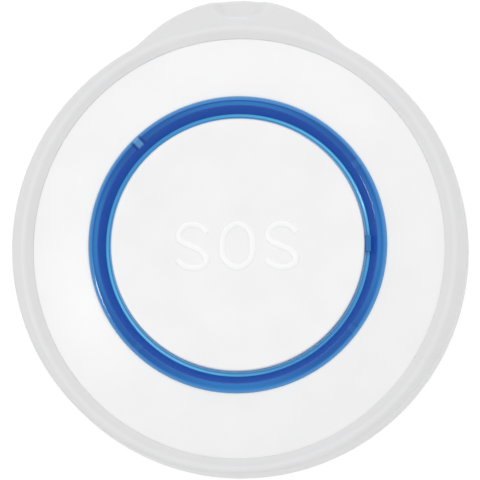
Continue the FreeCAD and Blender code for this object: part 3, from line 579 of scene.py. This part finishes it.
def make_stroke(points, centre_x, closed):
    """One letter as a round-ended stroke that follows its points."""
    start_fresh()
    bpy.ops.curve.primitive_bezier_curve_add()
    stroke = bpy.context.object
    line = stroke.data
    line.dimensions = "3D"
    line.splines.clear()
    spline = line.splines.new("BEZIER")
    spline.bezier_points.add(len(points) - 1)
    for knot, (x, y) in zip(spline.bezier_points, points):
        knot.co = ((centre_x + x) * MM, (y - LETTER_DROP) * MM, 0)
        knot.handle_left_type = knot.handle_right_type = "AUTO"
    spline.use_cyclic_u = closed
    spline.resolution_u = 10
    line.bevel_depth = LETTER_STROKE / 2 * MM
    line.bevel_resolution = 5
    line.use_fill_caps = True
    bpy.ops.object.convert(target="MESH")
    return bpy.context.object


def make_call_letters():
    """Raised word in the middle of the button, flattened onto its dish."""
    strokes = [
        make_stroke(LETTER_S, -LETTER_PITCH, False), make_stroke(LETTER_O, 0, True),
        make_stroke(LETTER_S, LETTER_PITCH, False)]
    start_fresh()
    for stroke in strokes:
        stroke.select_set(True)
    bpy.context.view_layer.objects.active = strokes[0]
    bpy.ops.object.join()
    letters = named("call_letters")
    letters.location = (0, 0, 0)
    for vertex in letters.data.vertices:
        radius = vertex.co.xy.length / MM
        vertex.co.z = vertex.co.z * LETTER_FLATNESS + dish_height(radius) * MM
    bpy.ops.object.mode_set(mode="EDIT")
    return close_up(letters, smooth_angle=60)


def make_coin_lid():
    """Bayonet lid in the back with a coin slot."""
    section = [
        (0, LID_FACE_Z), (4, LID_FACE_Z), (9, LID_FACE_Z), (13.9, LID_FACE_Z), (LID_RADIUS, 0.5),
        (LID_RADIUS, 0.6), (LID_SEAL_RADIUS, 0.6), (LID_SEAL_RADIUS, 1.26), (LID_RADIUS, 1.26),
        (LID_RADIUS, LID_TOP_Z), (COLLAR_RADIUS, LID_TOP_Z), (COLLAR_RADIUS, COLLAR_TOP_Z),
        (COLLAR_INNER, COLLAR_TOP_Z), (COLLAR_INNER, LID_TOP_Z), (11.15, LID_TOP_Z), (11.15, 1.8),
        (10.4, 1.8), (10.4, LID_TOP_Z), (0, LID_TOP_Z)]
    lid = turned("coin_lid", section)
    coin_slot = long_hole_cutter(11.0, 1.9, 0, 0.0, 0.9)
    cut_away(lid, coin_slot)
    for turn in range(3):
        for step in (-9, 0, 9):
            tab = block(1.05, 2.3, 2.5, COLLAR_TOP_Z, 13.375, 90 + 120 * turn + step)
            add_part(lid, tab)
    return lid


# Materials


def srgb(red, green, blue):
    """A colour as seen, 0 to 255 a channel, as the linear values that a shader takes."""
    def linear(level):
        level /= 255
        return level / 12.92 if level <= 0.04045 else ((level + 0.055) / 1.055)**2.4
    return linear(red), linear(green), linear(blue), 1.0


def add_node(tree, kind, values=None, **settings):
    """A shader node with its settings and the values of its inputs."""
    node = tree.nodes.new(kind)
    for name, value in settings.items():
        setattr(node, name, value)
    for name, value in (values or {}).items():
        if isinstance(value, bpy.types.NodeSocket):
            tree.links.new(value, node.inputs[name])
        else:
            node.inputs[name].default_value = value
    return node


def math_node(tree, operation, first, second=0.0):
    """The result of a math node. Each input is a number or a socket."""
    return add_node(tree, "ShaderNodeMath", {0: first, 1: second}, operation=operation).outputs[0]


def mixed(tree, share, first, second):
    """A colour between two colours, each given or from a socket."""
    blend = tree.nodes.new("ShaderNodeMix")
    blend.data_type = "RGBA"
    for index, value in ((0, share), (6, first), (7, second)):
        if isinstance(value, bpy.types.NodeSocket):
            tree.links.new(value, blend.inputs[index])
        else:
            blend.inputs[index].default_value = value
    return blend.outputs[2]


def new_group(name, inputs, outputs):
    """An empty shader node group with its sockets."""
    group = bpy.data.node_groups.new(name, "ShaderNodeTree")
    for direction, sockets in (("INPUT", inputs), ("OUTPUT", outputs)):
        for socket, kind in sockets.items():
            group.interface.new_socket(socket, in_out=direction, socket_type=f"NodeSocket{kind}")
    return group, group.nodes.new("NodeGroupInput").outputs, group.nodes.new("NodeGroupOutput").inputs


def make_grain_group():
    """Fine moulded grain, a cloudy shade and the roughness that goes with them."""
    group, given, out = new_group(
        "moulded_grain",
        {"Place": "Vector", "Scale": "Float", "Roughness": "Float", "Spread": "Float"},
        {"Height": "Float", "Shade": "Float", "Roughness": "Float"})
    grain = add_node(group, "ShaderNodeTexNoise", {
        "Vector": given["Place"], "Scale": given["Scale"], "Detail": 3.0, "Roughness": 0.6})
    cloud = add_node(group, "ShaderNodeTexNoise", {
        "Vector": given["Place"], "Scale": math_node(group, "MULTIPLY", given["Scale"], 0.02), "Detail": 2.0})
    wide = add_node(group, "ShaderNodeMapRange", {
        "Value": cloud.outputs["Fac"], "From Min": 0.3, "From Max": 0.7}).outputs["Result"]
    swing = math_node(group, "SUBTRACT", wide, 0.5)
    rough = math_node(group, "ADD", given["Roughness"], math_node(group, "MULTIPLY", swing, given["Spread"]))
    group.links.new(grain.outputs["Fac"], out["Height"])
    group.links.new(wide, out["Shade"])
    group.links.new(rough, out["Roughness"])
    return group


GRAIN = make_grain_group()


def new_material(name, **plain):
    """A material with a Principled shader, and its place on the piece as a socket."""
    material = bpy.data.materials.new(name)
    material.use_nodes = True
    tree = material.node_tree
    shader = tree.nodes["Principled BSDF"]
    for socket, value in plain.items():
        shader.inputs[socket.replace("_", " ")].default_value = value
    place = tree.nodes.new("ShaderNodeTexCoord").outputs["Object"]
    return material, tree, shader, place


def give_grain(tree, shader, place, light, dark, roughness, spread, scale, relief, depth=0.01):
    """Colour, roughness and bump of a moulded, cast or drawn surface."""
    grain = add_node(tree, "ShaderNodeGroup", node_tree=GRAIN)
    tree.links.new(place, grain.inputs["Place"])
    grain.inputs["Scale"].default_value = scale
    grain.inputs["Roughness"].default_value = roughness
    grain.inputs["Spread"].default_value = spread
    tree.links.new(mixed(tree, grain.outputs["Shade"], dark, light), shader.inputs["Base Color"])
    tree.links.new(grain.outputs["Roughness"], shader.inputs["Roughness"])
    bump = add_node(tree, "ShaderNodeBump", {
        "Strength": relief, "Distance": depth * MM, "Height": grain.outputs["Height"]})
    tree.links.new(bump.outputs["Normal"], shader.inputs["Normal"])


def moulded(name, light, dark, roughness, spread=0.08, relief=0.3, scale=9000.0, stretch=None, **plain):
    """A moulded, cast or drawn surface. stretch makes the grain run along an axis."""
    material, tree, shader, place = new_material(name, **plain)
    if stretch:
        place = add_node(
            tree, "ShaderNodeVectorMath", {0: place, 1: stretch}, operation="MULTIPLY").outputs[0]
    give_grain(tree, shader, place, light, dark, roughness, spread, scale, relief)
    return material


def step_mask(tree, value, start, end):
    """Rises from 0 to 1 as a value in metres goes from start to end, in millimetres. Falls if end is less."""
    low, high = sorted((start, end))
    bounds = {"Value": value, "From Min": low * MM, "From Max": high * MM}
    if end < start:
        bounds.update({"To Min": 1.0, "To Max": 0.0})
    return add_node(tree, "ShaderNodeMapRange", bounds).outputs["Result"]


def both(tree, first, second):
    """Mask of what lies in two masks, or a mask weakened by a share."""
    return math_node(tree, "MULTIPLY", first, second)


def band(tree, value, start, full, fading, end):
    """Mask that rises from start to full and falls again from fading to end, in millimetres."""
    return both(tree, step_mask(tree, value, start, full), step_mask(tree, value, end, fading))


def off_centre(tree, value, centre):
    """How far a value in metres is from a centre in millimetres, either way."""
    return math_node(tree, "ABSOLUTE", math_node(tree, "SUBTRACT", value, centre * MM))


def split_place(tree, place):
    """X, Y, Z and the distance from the Z axis."""
    axes = add_node(tree, "ShaderNodeSeparateXYZ", {"Vector": place}).outputs
    flat = add_node(tree, "ShaderNodeCombineXYZ", {"X": axes["X"], "Y": axes["Y"]}).outputs[0]
    reach = add_node(tree, "ShaderNodeVectorMath", {0: flat}, operation="LENGTH").outputs["Value"]
    return axes["X"], axes["Y"], axes["Z"], reach


def wave(tree, angle, times, peak):
    """Swings between 0 and 1 as an angle goes round, with its peak at an angle in degrees."""
    off = math_node(tree, "MULTIPLY", math_node(tree, "SUBTRACT", angle, math.radians(peak)), times)
    return math_node(tree, "MULTIPLY", math_node(tree, "ADD", math_node(tree, "COSINE", off), 1.0), 0.5)


def make_leg_group():
    """Masks of the light leg under the ring at an angle: its end face, where the ring is painted lighter, and
    the two walls beside it, where it is painted in shade.
    """
    group, given, out = new_group(
        "leg_mark", {"Place": "Vector", "Angle": "Float"}, {"Face": "Float", "Walls": "Float"})
    turned_place = add_node(group, "ShaderNodeVectorRotate", {
        "Vector": given["Place"], "Angle": math_node(group, "MULTIPLY", given["Angle"], -1.0)},
        rotation_type="Z_AXIS").outputs["Vector"]
    x, y, _, _ = split_place(group, turned_place)
    aside = math_node(group, "ABSOLUTE", y)
    inside = step_mask(group, off_centre(group, x, LEG_RADIUS), 0.52, 0.42)
    face = both(group, inside, step_mask(group, aside, 0.36, 0.26))
    walls = band(group, aside, 0.36, 0.44, 0.58, 0.66)
    group.links.new(face, out["Face"])
    group.links.new(both(group, inside, walls), out["Walls"])
    return group


def make_chip_ends_group():
    """Mask of the soldered ends of the small chips, which stand at whole tens of degrees round the axis."""
    group, given, out = new_group("chip_ends", {"Place": "Vector"}, {"Mask": "Float"})
    x, y, _, reach = split_place(group, given["Place"])
    step, half = math.radians(10), math.radians(5)
    angle = math_node(group, "ADD", math_node(group, "ARCTAN2", y, x), half)
    angle = math_node(group, "FLOORED_MODULO", angle, step)
    off_middle = math_node(group, "ABSOLUTE", math_node(group, "SUBTRACT", angle, half))
    along = math_node(group, "MULTIPLY", off_middle, reach)
    group.links.new(step_mask(group, along, 0.48, 0.52), out["Mask"])
    return group


def make_screw_pad_group():
    """Mask of the bare pads round the board's three screws."""
    group, given, out = new_group("screw_pads", {"Place": "Vector"}, {"Mask": "Float"})
    x, y, _, reach = split_place(group, given["Place"])
    third = math.radians(120)
    angle = math_node(group, "SUBTRACT", math_node(group, "ARCTAN2", y, x), math.radians(90) - third / 2)
    angle = math_node(group, "SUBTRACT", math_node(group, "FLOORED_MODULO", angle, third), third / 2)
    aside = math_node(group, "MULTIPLY", reach, math_node(group, "SINE", angle))
    away = math_node(group, "MULTIPLY", reach, math_node(group, "COSINE", angle))
    spot = add_node(group, "ShaderNodeCombineXYZ", {
        "X": math_node(group, "SUBTRACT", away, SCREW_CIRCLE * MM), "Y": aside}).outputs[0]
    off = add_node(group, "ShaderNodeVectorMath", {0: spot}, operation="LENGTH").outputs["Value"]
    group.links.new(step_mask(group, off, 1.6, 1.5), out["Mask"])
    return group


LEG_MARK = make_leg_group()
CHIP_ENDS = make_chip_ends_group()
SCREW_PADS = make_screw_pad_group()

# The ring's colours by radius: its own blue, with painted shade on the bevel and painted light on the groove
# floor and outer edge for what the clear plastic would show beneath. Then the shares of painted light on its
# legs' faces and painted shade on the walls beside them
RING_BLUE_AND_PAINTED_LIGHT_STOPS = (
    (12.6, (176, 226, 255)), (12.8, (120, 190, 240)), (12.9, (50, 118, 190)), (12.98, (110, 216, 255)),
    (13.14, (100, 208, 255)), (13.22, (20, 78, 170)), (13.95, (20, 76, 168)), (14.05, (48, 124, 198)),
    (14.35, (44, 120, 190)), (14.6, (50, 128, 200)), (14.8, (62, 140, 206)), (15.0, (120, 186, 234)))
RING_LAND_PAINTED_SHADE = srgb(34, 92, 170)
RING_LINE_PAINTED_DIM = srgb(72, 166, 226)
RING_SHOULDER_PAINTED_SHADE = srgb(30, 84, 158)
RING_RIB = srgb(58, 122, 192)
LEG_FACE_PAINTED_LIGHT = srgb(120, 186, 232)
LEG_WALLS_PAINTED_SHADE = srgb(20, 56, 122)
LEG_SHARES = ((0.05, 0.14), (0.45, 0.8), (0.04, 0.1), (0.04, 0.14))


def make_blue_clear():
    """Clear blue plastic whose colour carries painted light and shade: light on its edge and land, dark on
    the bevel, bright on the groove floor.
    """
    material, tree, shader, place = new_material("blue_clear", IOR=1.5, Roughness=0.12)
    x, y, _, reach = split_place(tree, place)
    first_stop, last_stop = RING_BLUE_AND_PAINTED_LIGHT_STOPS[0][0], RING_BLUE_AND_PAINTED_LIGHT_STOPS[-1][0]
    along = add_node(tree, "ShaderNodeMapRange", {
        "Value": reach, "From Min": first_stop * MM, "From Max": last_stop * MM}).outputs["Result"]
    ramp = add_node(tree, "ShaderNodeValToRGB", {"Fac": along})
    elements = ramp.color_ramp.elements
    while len(elements) < len(RING_BLUE_AND_PAINTED_LIGHT_STOPS):
        elements.new(0.5)
    for element, (stop, colour) in zip(elements, RING_BLUE_AND_PAINTED_LIGHT_STOPS):
        element.position = (stop - first_stop) / (last_stop - first_stop)
        element.color = srgb(*colour)
    colour = ramp.outputs["Color"]
    angle = math_node(tree, "ARCTAN2", y, x)
    # Painted shade: the land is darker towards the four legs, at 45° and every quarter turn from it.
    shade_near_legs = wave(tree, angle, 4, 45)
    land = band(tree, reach, 13.95, 14.05, 14.5, 14.65)
    colour = mixed(tree, both(tree, land, shade_near_legs), colour, RING_LAND_PAINTED_SHADE)
    # Painted shade: a thin dark line where the land meets the outer round, strongest near the top.
    shoulder_line = band(tree, reach, 14.34, 14.4, 14.46, 14.52)
    colour = mixed(tree, both(tree, shoulder_line, wave(tree, angle, 1, 100)), colour, RING_SHOULDER_PAINTED_SHADE)
    # Painted light and shade: the bright line on the groove floor, itself painted light, is painted duller
    # towards 135° and 315°.
    line = band(tree, reach, 12.9, 12.98, 13.14, 13.22)
    colour = mixed(tree, both(tree, line, wave(tree, angle, 2, 135)), colour, RING_LINE_PAINTED_DIM)
    rib_width = step_mask(tree, math_node(tree, "ABSOLUTE", y), 0.84, 0.8)
    rib_length = both(tree, step_mask(tree, x, 12.5, 12.6), step_mask(tree, reach, 13.45, 13.35))
    colour = mixed(tree, both(tree, rib_width, rib_length), colour, RING_RIB)
    # Painted light and shade: over each leg the ring is lighter on the end face and darker beside it, by the
    # listed shares.
    for degrees, (face_share, wall_share) in zip(LEG_ANGLES, LEG_SHARES):
        leg = add_node(tree, "ShaderNodeGroup", {
            "Place": place, "Angle": math.radians(degrees)}, node_tree=LEG_MARK).outputs
        colour = mixed(tree, both(tree, leg["Face"], face_share), colour, LEG_FACE_PAINTED_LIGHT)
        colour = mixed(tree, both(tree, leg["Walls"], wall_share), colour, LEG_WALLS_PAINTED_SHADE)
    tree.links.new(colour, shader.inputs["Base Color"])
    return material


def make_frosted_shell():
    """Frosted plastic that lets light through, with a painted highlight along the rim's crest and a painted
    glow in the lanyard slot, which is no lamp.
    """
    # The emission strength serves the painted glow in the lanyard slot.
    material, tree, shader, place = new_material(
        "frosted_shell", Subsurface_Weight=0.5, Subsurface_Radius=(1, 1, 1), Subsurface_Scale=0.0002,
        Emission_Strength=1.0)
    give_grain(tree, shader, place, srgb(227, 227, 228), srgb(225, 225, 226), 0.5, 0.08, 9000.0, 0.3)
    oval = add_node(tree, "ShaderNodeMapping", {
        "Vector": place, "Location": (0, -EDGE_MIDDLE_Y * EDGE_RADIUS / EDGE_ALONG * MM, 0),
        "Scale": (EDGE_RADIUS / EDGE_ACROSS, EDGE_RADIUS / EDGE_ALONG, 1)}).outputs["Vector"]
    _, _, z, reach = split_place(tree, oval)
    off_crest = off_centre(tree, reach, CREST_RADIUS)
    # Painted highlight: a lighter band along the rim's round crest, where light catches it.
    crest = both(tree, step_mask(tree, off_crest, 0.35, 0.1), step_mask(tree, z, 9.4, 9.6))
    body = shader.inputs["Base Color"].links[0].from_socket
    tree.links.new(mixed(tree, crest, body, srgb(230, 230, 231)), shader.inputs["Base Color"])
    x, y, z, _ = split_place(tree, place)
    # Painted light: the walls of the lanyard slot glow grey with emission, though it is no lamp, standing in
    # for light that comes through the slot.
    off_slot = off_centre(tree, y, (SLOT_INNER_Y + SLOT_OUTER_Y) / 2)
    half_width, half_length = (SLOT_OUTER_Y - SLOT_INNER_Y) / 2, SLOT_LENGTH / 2
    in_width = step_mask(tree, off_slot, half_width + 0.03, half_width + 0.01)
    in_length = step_mask(tree, math_node(tree, "ABSOLUTE", x), half_length + 0.03, half_length + 0.01)
    in_height = band(tree, z, 5.0, 8.0, SLOT_TOP_Z, SLOT_TOP_Z + 0.01)
    glow = both(tree, both(tree, in_width, in_length), in_height)
    tree.links.new(mixed(tree, glow, (0, 0, 0, 1), srgb(140, 140, 141)), shader.inputs["Emission Color"])
    return material


def chips_with_ends(name, light, dark, roughness):
    """Small soldered chips: a fired or printed body with tinned ends."""
    material, tree, shader, place = new_material(name)
    give_grain(tree, shader, place, light, dark, roughness, 0.1, 12000.0, 0.2)
    ends = add_node(tree, "ShaderNodeGroup", {"Place": place}, node_tree=CHIP_ENDS).outputs["Mask"]
    body = shader.inputs["Base Color"].links[0].from_socket
    tree.links.new(mixed(tree, ends, body, srgb(206, 206, 204)), shader.inputs["Base Color"])
    tree.links.new(ends, shader.inputs["Metallic"])
    return material


def make_board_green():
    """Green solder mask over copper tracks, with bare gold pads round the screws."""
    material, tree, shader, place = new_material("board_green")
    tracks = add_node(tree, "ShaderNodeTexBrick", {
        "Vector": place, "Scale": 260.0, "Mortar Size": 0.035, "Mortar Smooth": 0.4,
        "Brick Width": 0.9, "Row Height": 0.32})
    share = tracks.outputs["Fac"]
    green = mixed(tree, share, srgb(22, 96, 58), srgb(44, 132, 82))
    pads = add_node(tree, "ShaderNodeGroup", {"Place": place}, node_tree=SCREW_PADS).outputs["Mask"]
    tree.links.new(mixed(tree, pads, green, srgb(226, 190, 110)), shader.inputs["Base Color"])
    tree.links.new(pads, shader.inputs["Metallic"])
    rough = add_node(tree, "ShaderNodeMapRange", {"Value": share, "To Min": 0.34, "To Max": 0.26})
    tree.links.new(rough.outputs["Result"], shader.inputs["Roughness"])
    bump = add_node(tree, "ShaderNodeBump", {"Strength": 0.5, "Distance": 0.03 * MM, "Height": share})
    tree.links.new(bump.outputs["Normal"], shader.inputs["Normal"])
    return material


def make_led_body():
    """White moulded body with a yellow phosphor window in its top."""
    material, tree, shader, place = new_material("led_body")
    give_grain(tree, shader, place, srgb(242, 240, 234), srgb(234, 232, 224), 0.35, 0.1, 12000.0, 0.15)
    _, _, z, reach = split_place(tree, place)
    off_legs = off_centre(tree, reach, LEG_RADIUS)
    window = both(tree, step_mask(tree, off_legs, 0.3, 0.25), step_mask(tree, z, 8.86, 8.88))
    body = shader.inputs["Base Color"].links[0].from_socket
    tree.links.new(mixed(tree, window, body, srgb(238, 206, 84)), shader.inputs["Base Color"])
    return material


def make_cell_steel():
    """Plated can, turned so that its fine lines run round the axis."""
    material, tree, shader, place = new_material("cell_steel", Metallic=1.0)
    x, y, z, reach = split_place(tree, place)
    angle = math_node(tree, "MULTIPLY", math_node(tree, "ARCTAN2", y, x), 0.4 * MM)
    lines = add_node(tree, "ShaderNodeCombineXYZ", {"X": reach, "Y": angle, "Z": z}).outputs[0]
    give_grain(tree, shader, lines, srgb(206, 207, 210), srgb(186, 187, 191), 0.28, 0.14, 7000.0, 0.25)
    return material


WHITE_PLASTIC = moulded("white_plastic", srgb(247, 247, 247), srgb(244, 244, 245), 0.42)
FROSTED_SHELL = make_frosted_shell()
BLUE_CLEAR = make_blue_clear()
# Painted highlight: the letters are a lighter copy of the button's white, for the light that catches their
# raised strokes.
LETTER_PAINTED_HIGHLIGHT_WHITE = moulded("letter_painted_highlight_white", srgb(252, 252, 252), srgb(250, 250, 251), 0.35)
SEAL_RUBBER = moulded("seal_rubber", srgb(46, 46, 48), srgb(36, 36, 38), 0.62)
DARK_PLASTIC = moulded("dark_plastic", srgb(50, 50, 54), srgb(40, 40, 44), 0.5)
CHIP_BLACK = moulded("chip_black", srgb(42, 42, 45), srgb(32, 32, 35), 0.58, relief=0.5)
STEEL = moulded("steel", srgb(204, 205, 208), srgb(186, 187, 191), 0.3, Metallic=1.0)
SPRING_METAL = moulded(
    "spring_metal", srgb(212, 206, 188), srgb(196, 190, 172), 0.3, stretch=(0.1, 1, 1), Metallic=1.0)
SILICONE = moulded(
    "silicone", srgb(232, 230, 224), srgb(224, 222, 216), 0.48, Subsurface_Weight=0.6, Subsurface_Scale=0.001)
INNER_MATERIALS = {
    "cover_seal": SEAL_RUBBER,
    "battery_cover_seal": SEAL_RUBBER,
    "switch_body": DARK_PLASTIC,
    "switch_plunger": DARK_PLASTIC,
    "circuit_board": make_board_green(),
    "status_leds": make_led_body(),
    "radio_chip": CHIP_BLACK,
    "controller_chip": CHIP_BLACK,
    "crystal": STEEL,
    "capacitors": chips_with_ends("ceramic_tan", srgb(188, 150, 106), srgb(174, 136, 94), 0.5),
    "resistors": chips_with_ends("resistor_black", srgb(44, 44, 47), srgb(34, 34, 37), 0.5),
    "loop_antenna": moulded(
        "copper", srgb(222, 150, 108), srgb(204, 130, 90), 0.3, stretch=(1, 1, 0.1), Metallic=1.0),
    "board_screws": STEEL,
    "coin_cell": make_cell_steel(),
    "positive_contact": SPRING_METAL,
    "negative_contact": SPRING_METAL,
}


# Assembly


def dress(piece, body, node, material):
    """Finish a piece, seat it on its body and let it stand for its CAD node."""
    piece.data.materials.clear()
    piece.data.materials.append(material)
    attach(piece, body)
    if node:
        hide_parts(node)


dress(make_housing_shell(), "housing", "rear_housing", FROSTED_SHELL)
dress(make_front_disc(), "housing", "front_cover", WHITE_PLASTIC)
dress(make_clear_ring(), "housing", "light_ring", BLUE_CLEAR)
dress(make_press_cap(), "button", "button_cap", WHITE_PLASTIC)
dress(make_call_letters(), "button", None, LETTER_PAINTED_HIGHLIGHT_WHITE)
dress(make_coin_lid(), "battery_lid", "battery_cover", WHITE_PLASTIC)
boot = make_silicone_boot()
dress(boot, "housing", "button_boot", SILICONE)
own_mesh(boot)
for node, material in INNER_MATERIALS.items():
    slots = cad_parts[node].data.materials
    slots.clear()
    slots.append(material)


# Studio: floor, world, lamps and camera

TARGET = Vector((-0.1, 1.05, 6.45)) * MM
CAMERA_DISTANCE = 0.55
CAMERA_TILT_RIGHT = 4.3
CAMERA_TILT_DOWN = 7.6
SENSOR_WIDTH = 36
FRAME_WIDTH = 0.0482
WORLD_LIGHT = 0.9
FLOOR_SIZE = 3
FLOOR_SHIFT = 0.1
FLOOR_GAP = 0.3


def make_floor():
    """White floor, see-through from below. It is shifted so that its diagonal passes beside the object:
    right under the frosted shell the diagonal would show as a dark patch."""
    start_fresh()
    bpy.ops.mesh.primitive_plane_add(size=FLOOR_SIZE, location=(FLOOR_SHIFT, 0, -FLOOR_GAP * MM))
    floor = named("floor")
    material = bpy.data.materials.new("floor_white")
    material.use_nodes = True
    tree = material.node_tree
    tree.nodes.clear()
    diffuse = add_node(tree, "ShaderNodeBsdfDiffuse", {"Color": (0.8, 0.8, 0.8, 1)})
    glow = add_node(tree, "ShaderNodeEmission", {"Color": (1, 1, 1, 1), "Strength": 1.1})
    clear = tree.nodes.new("ShaderNodeBsdfTransparent")
    seen = tree.nodes.new("ShaderNodeLightPath").outputs
    ray = math_node(tree, "MAXIMUM", seen["Is Camera Ray"], seen["Is Glossy Ray"])
    ray = math_node(tree, "MAXIMUM", ray, seen["Is Transmission Ray"])
    share = add_node(tree, "ShaderNodeMapRange", {
        "Value": ray, "To Min": 0.25, "To Max": 0.8}).outputs["Result"]
    lit = tree.nodes.new("ShaderNodeMixShader")
    tree.links.new(share, lit.inputs[0])
    tree.links.new(diffuse.outputs[0], lit.inputs[1])
    tree.links.new(glow.outputs[0], lit.inputs[2])
    under = tree.nodes.new("ShaderNodeMixShader")
    below = tree.nodes.new("ShaderNodeNewGeometry").outputs["Backfacing"]
    tree.links.new(below, under.inputs[0])
    tree.links.new(lit.outputs[0], under.inputs[1])
    tree.links.new(clear.outputs[0], under.inputs[2])
    output = tree.nodes.new("ShaderNodeOutputMaterial")
    tree.links.new(under.outputs[0], output.inputs["Surface"])
    floor.data.materials.append(material)


def make_world():
    """White light from all round. Glossy rays find it darker overhead, and the camera sees plain white."""
    world = bpy.data.worlds.new("studio")
    bpy.context.scene.world = world
    world.use_nodes = True
    tree = world.node_tree
    tree.nodes.clear()
    seen = tree.nodes.new("ShaderNodeLightPath").outputs
    ray = math_node(tree, "MAXIMUM", seen["Is Camera Ray"], seen["Is Transmission Ray"])
    way = tree.nodes.new("ShaderNodeTexCoord").outputs["Generated"]
    rise = add_node(tree, "ShaderNodeSeparateXYZ", {"Vector": way}).outputs["Z"]
    overhead = add_node(tree, "ShaderNodeMapRange", {
        "Value": rise, "From Min": 0.75, "From Max": 0.97, "To Min": WORLD_LIGHT, "To Max": 0.3},
        interpolation_type="SMOOTHSTEP").outputs["Result"]
    gloss = add_node(tree, "ShaderNodeMix", {
        "Factor": seen["Is Glossy Ray"], "A": WORLD_LIGHT, "B": overhead}).outputs[0]
    soft = add_node(tree, "ShaderNodeBackground", {"Color": (1, 1, 1, 1), "Strength": gloss})
    white = add_node(tree, "ShaderNodeBackground", {"Color": (1, 1, 1, 1), "Strength": 1.0})
    mix = tree.nodes.new("ShaderNodeMixShader")
    tree.links.new(ray, mix.inputs[0])
    tree.links.new(soft.outputs[0], mix.inputs[1])
    tree.links.new(white.outputs[0], mix.inputs[2])
    output = tree.nodes.new("ShaderNodeOutputWorld")
    tree.links.new(mix.outputs[0], output.inputs["Surface"])


def add_lamp(name, direction, distance, size, power):
    """A square soft lamp that faces the object from a direction."""
    data = bpy.data.lights.new(name, "AREA")
    data.size = size
    data.energy = power
    lamp = bpy.data.objects.new(name, data)
    bpy.context.scene.collection.objects.link(lamp)
    away = Vector(direction).normalized()
    lamp.location = TARGET + away * distance
    lamp.rotation_euler = away.to_track_quat("Z", "Y").to_euler()
    return lamp


def make_camera():
    """Looks nearly straight down, from a little to the right of and below the button's axis."""
    data = bpy.data.cameras.new("camera")
    data.sensor_width = SENSOR_WIDTH
    data.lens = SENSOR_WIDTH * CAMERA_DISTANCE / FRAME_WIDTH
    data.clip_start, data.clip_end = 0.01, 10
    camera = bpy.data.objects.new("camera", data)
    bpy.context.scene.collection.objects.link(camera)
    aside, below = math.tan(math.radians(CAMERA_TILT_RIGHT)), math.tan(math.radians(CAMERA_TILT_DOWN))
    back = Vector((aside, -below, 1)).normalized()
    right = Vector((0, 1, 0)).cross(back).normalized()
    up = back.cross(right)
    camera.rotation_euler = Matrix((right, up, back)).transposed().to_euler()
    camera.location = TARGET + back * CAMERA_DISTANCE
    bpy.context.scene.camera = camera


make_floor()
make_world()
add_lamp("key_lamp", (-0.1, 1.0, 1.3), 0.8, 0.6, 0.75)
add_lamp("glint_lamp", (-0.507, -0.026, 0.86), 0.5, 0.05, 0.5).visible_diffuse = False
make_camera()
bpy.context.scene.view_settings.view_transform = "Standard"
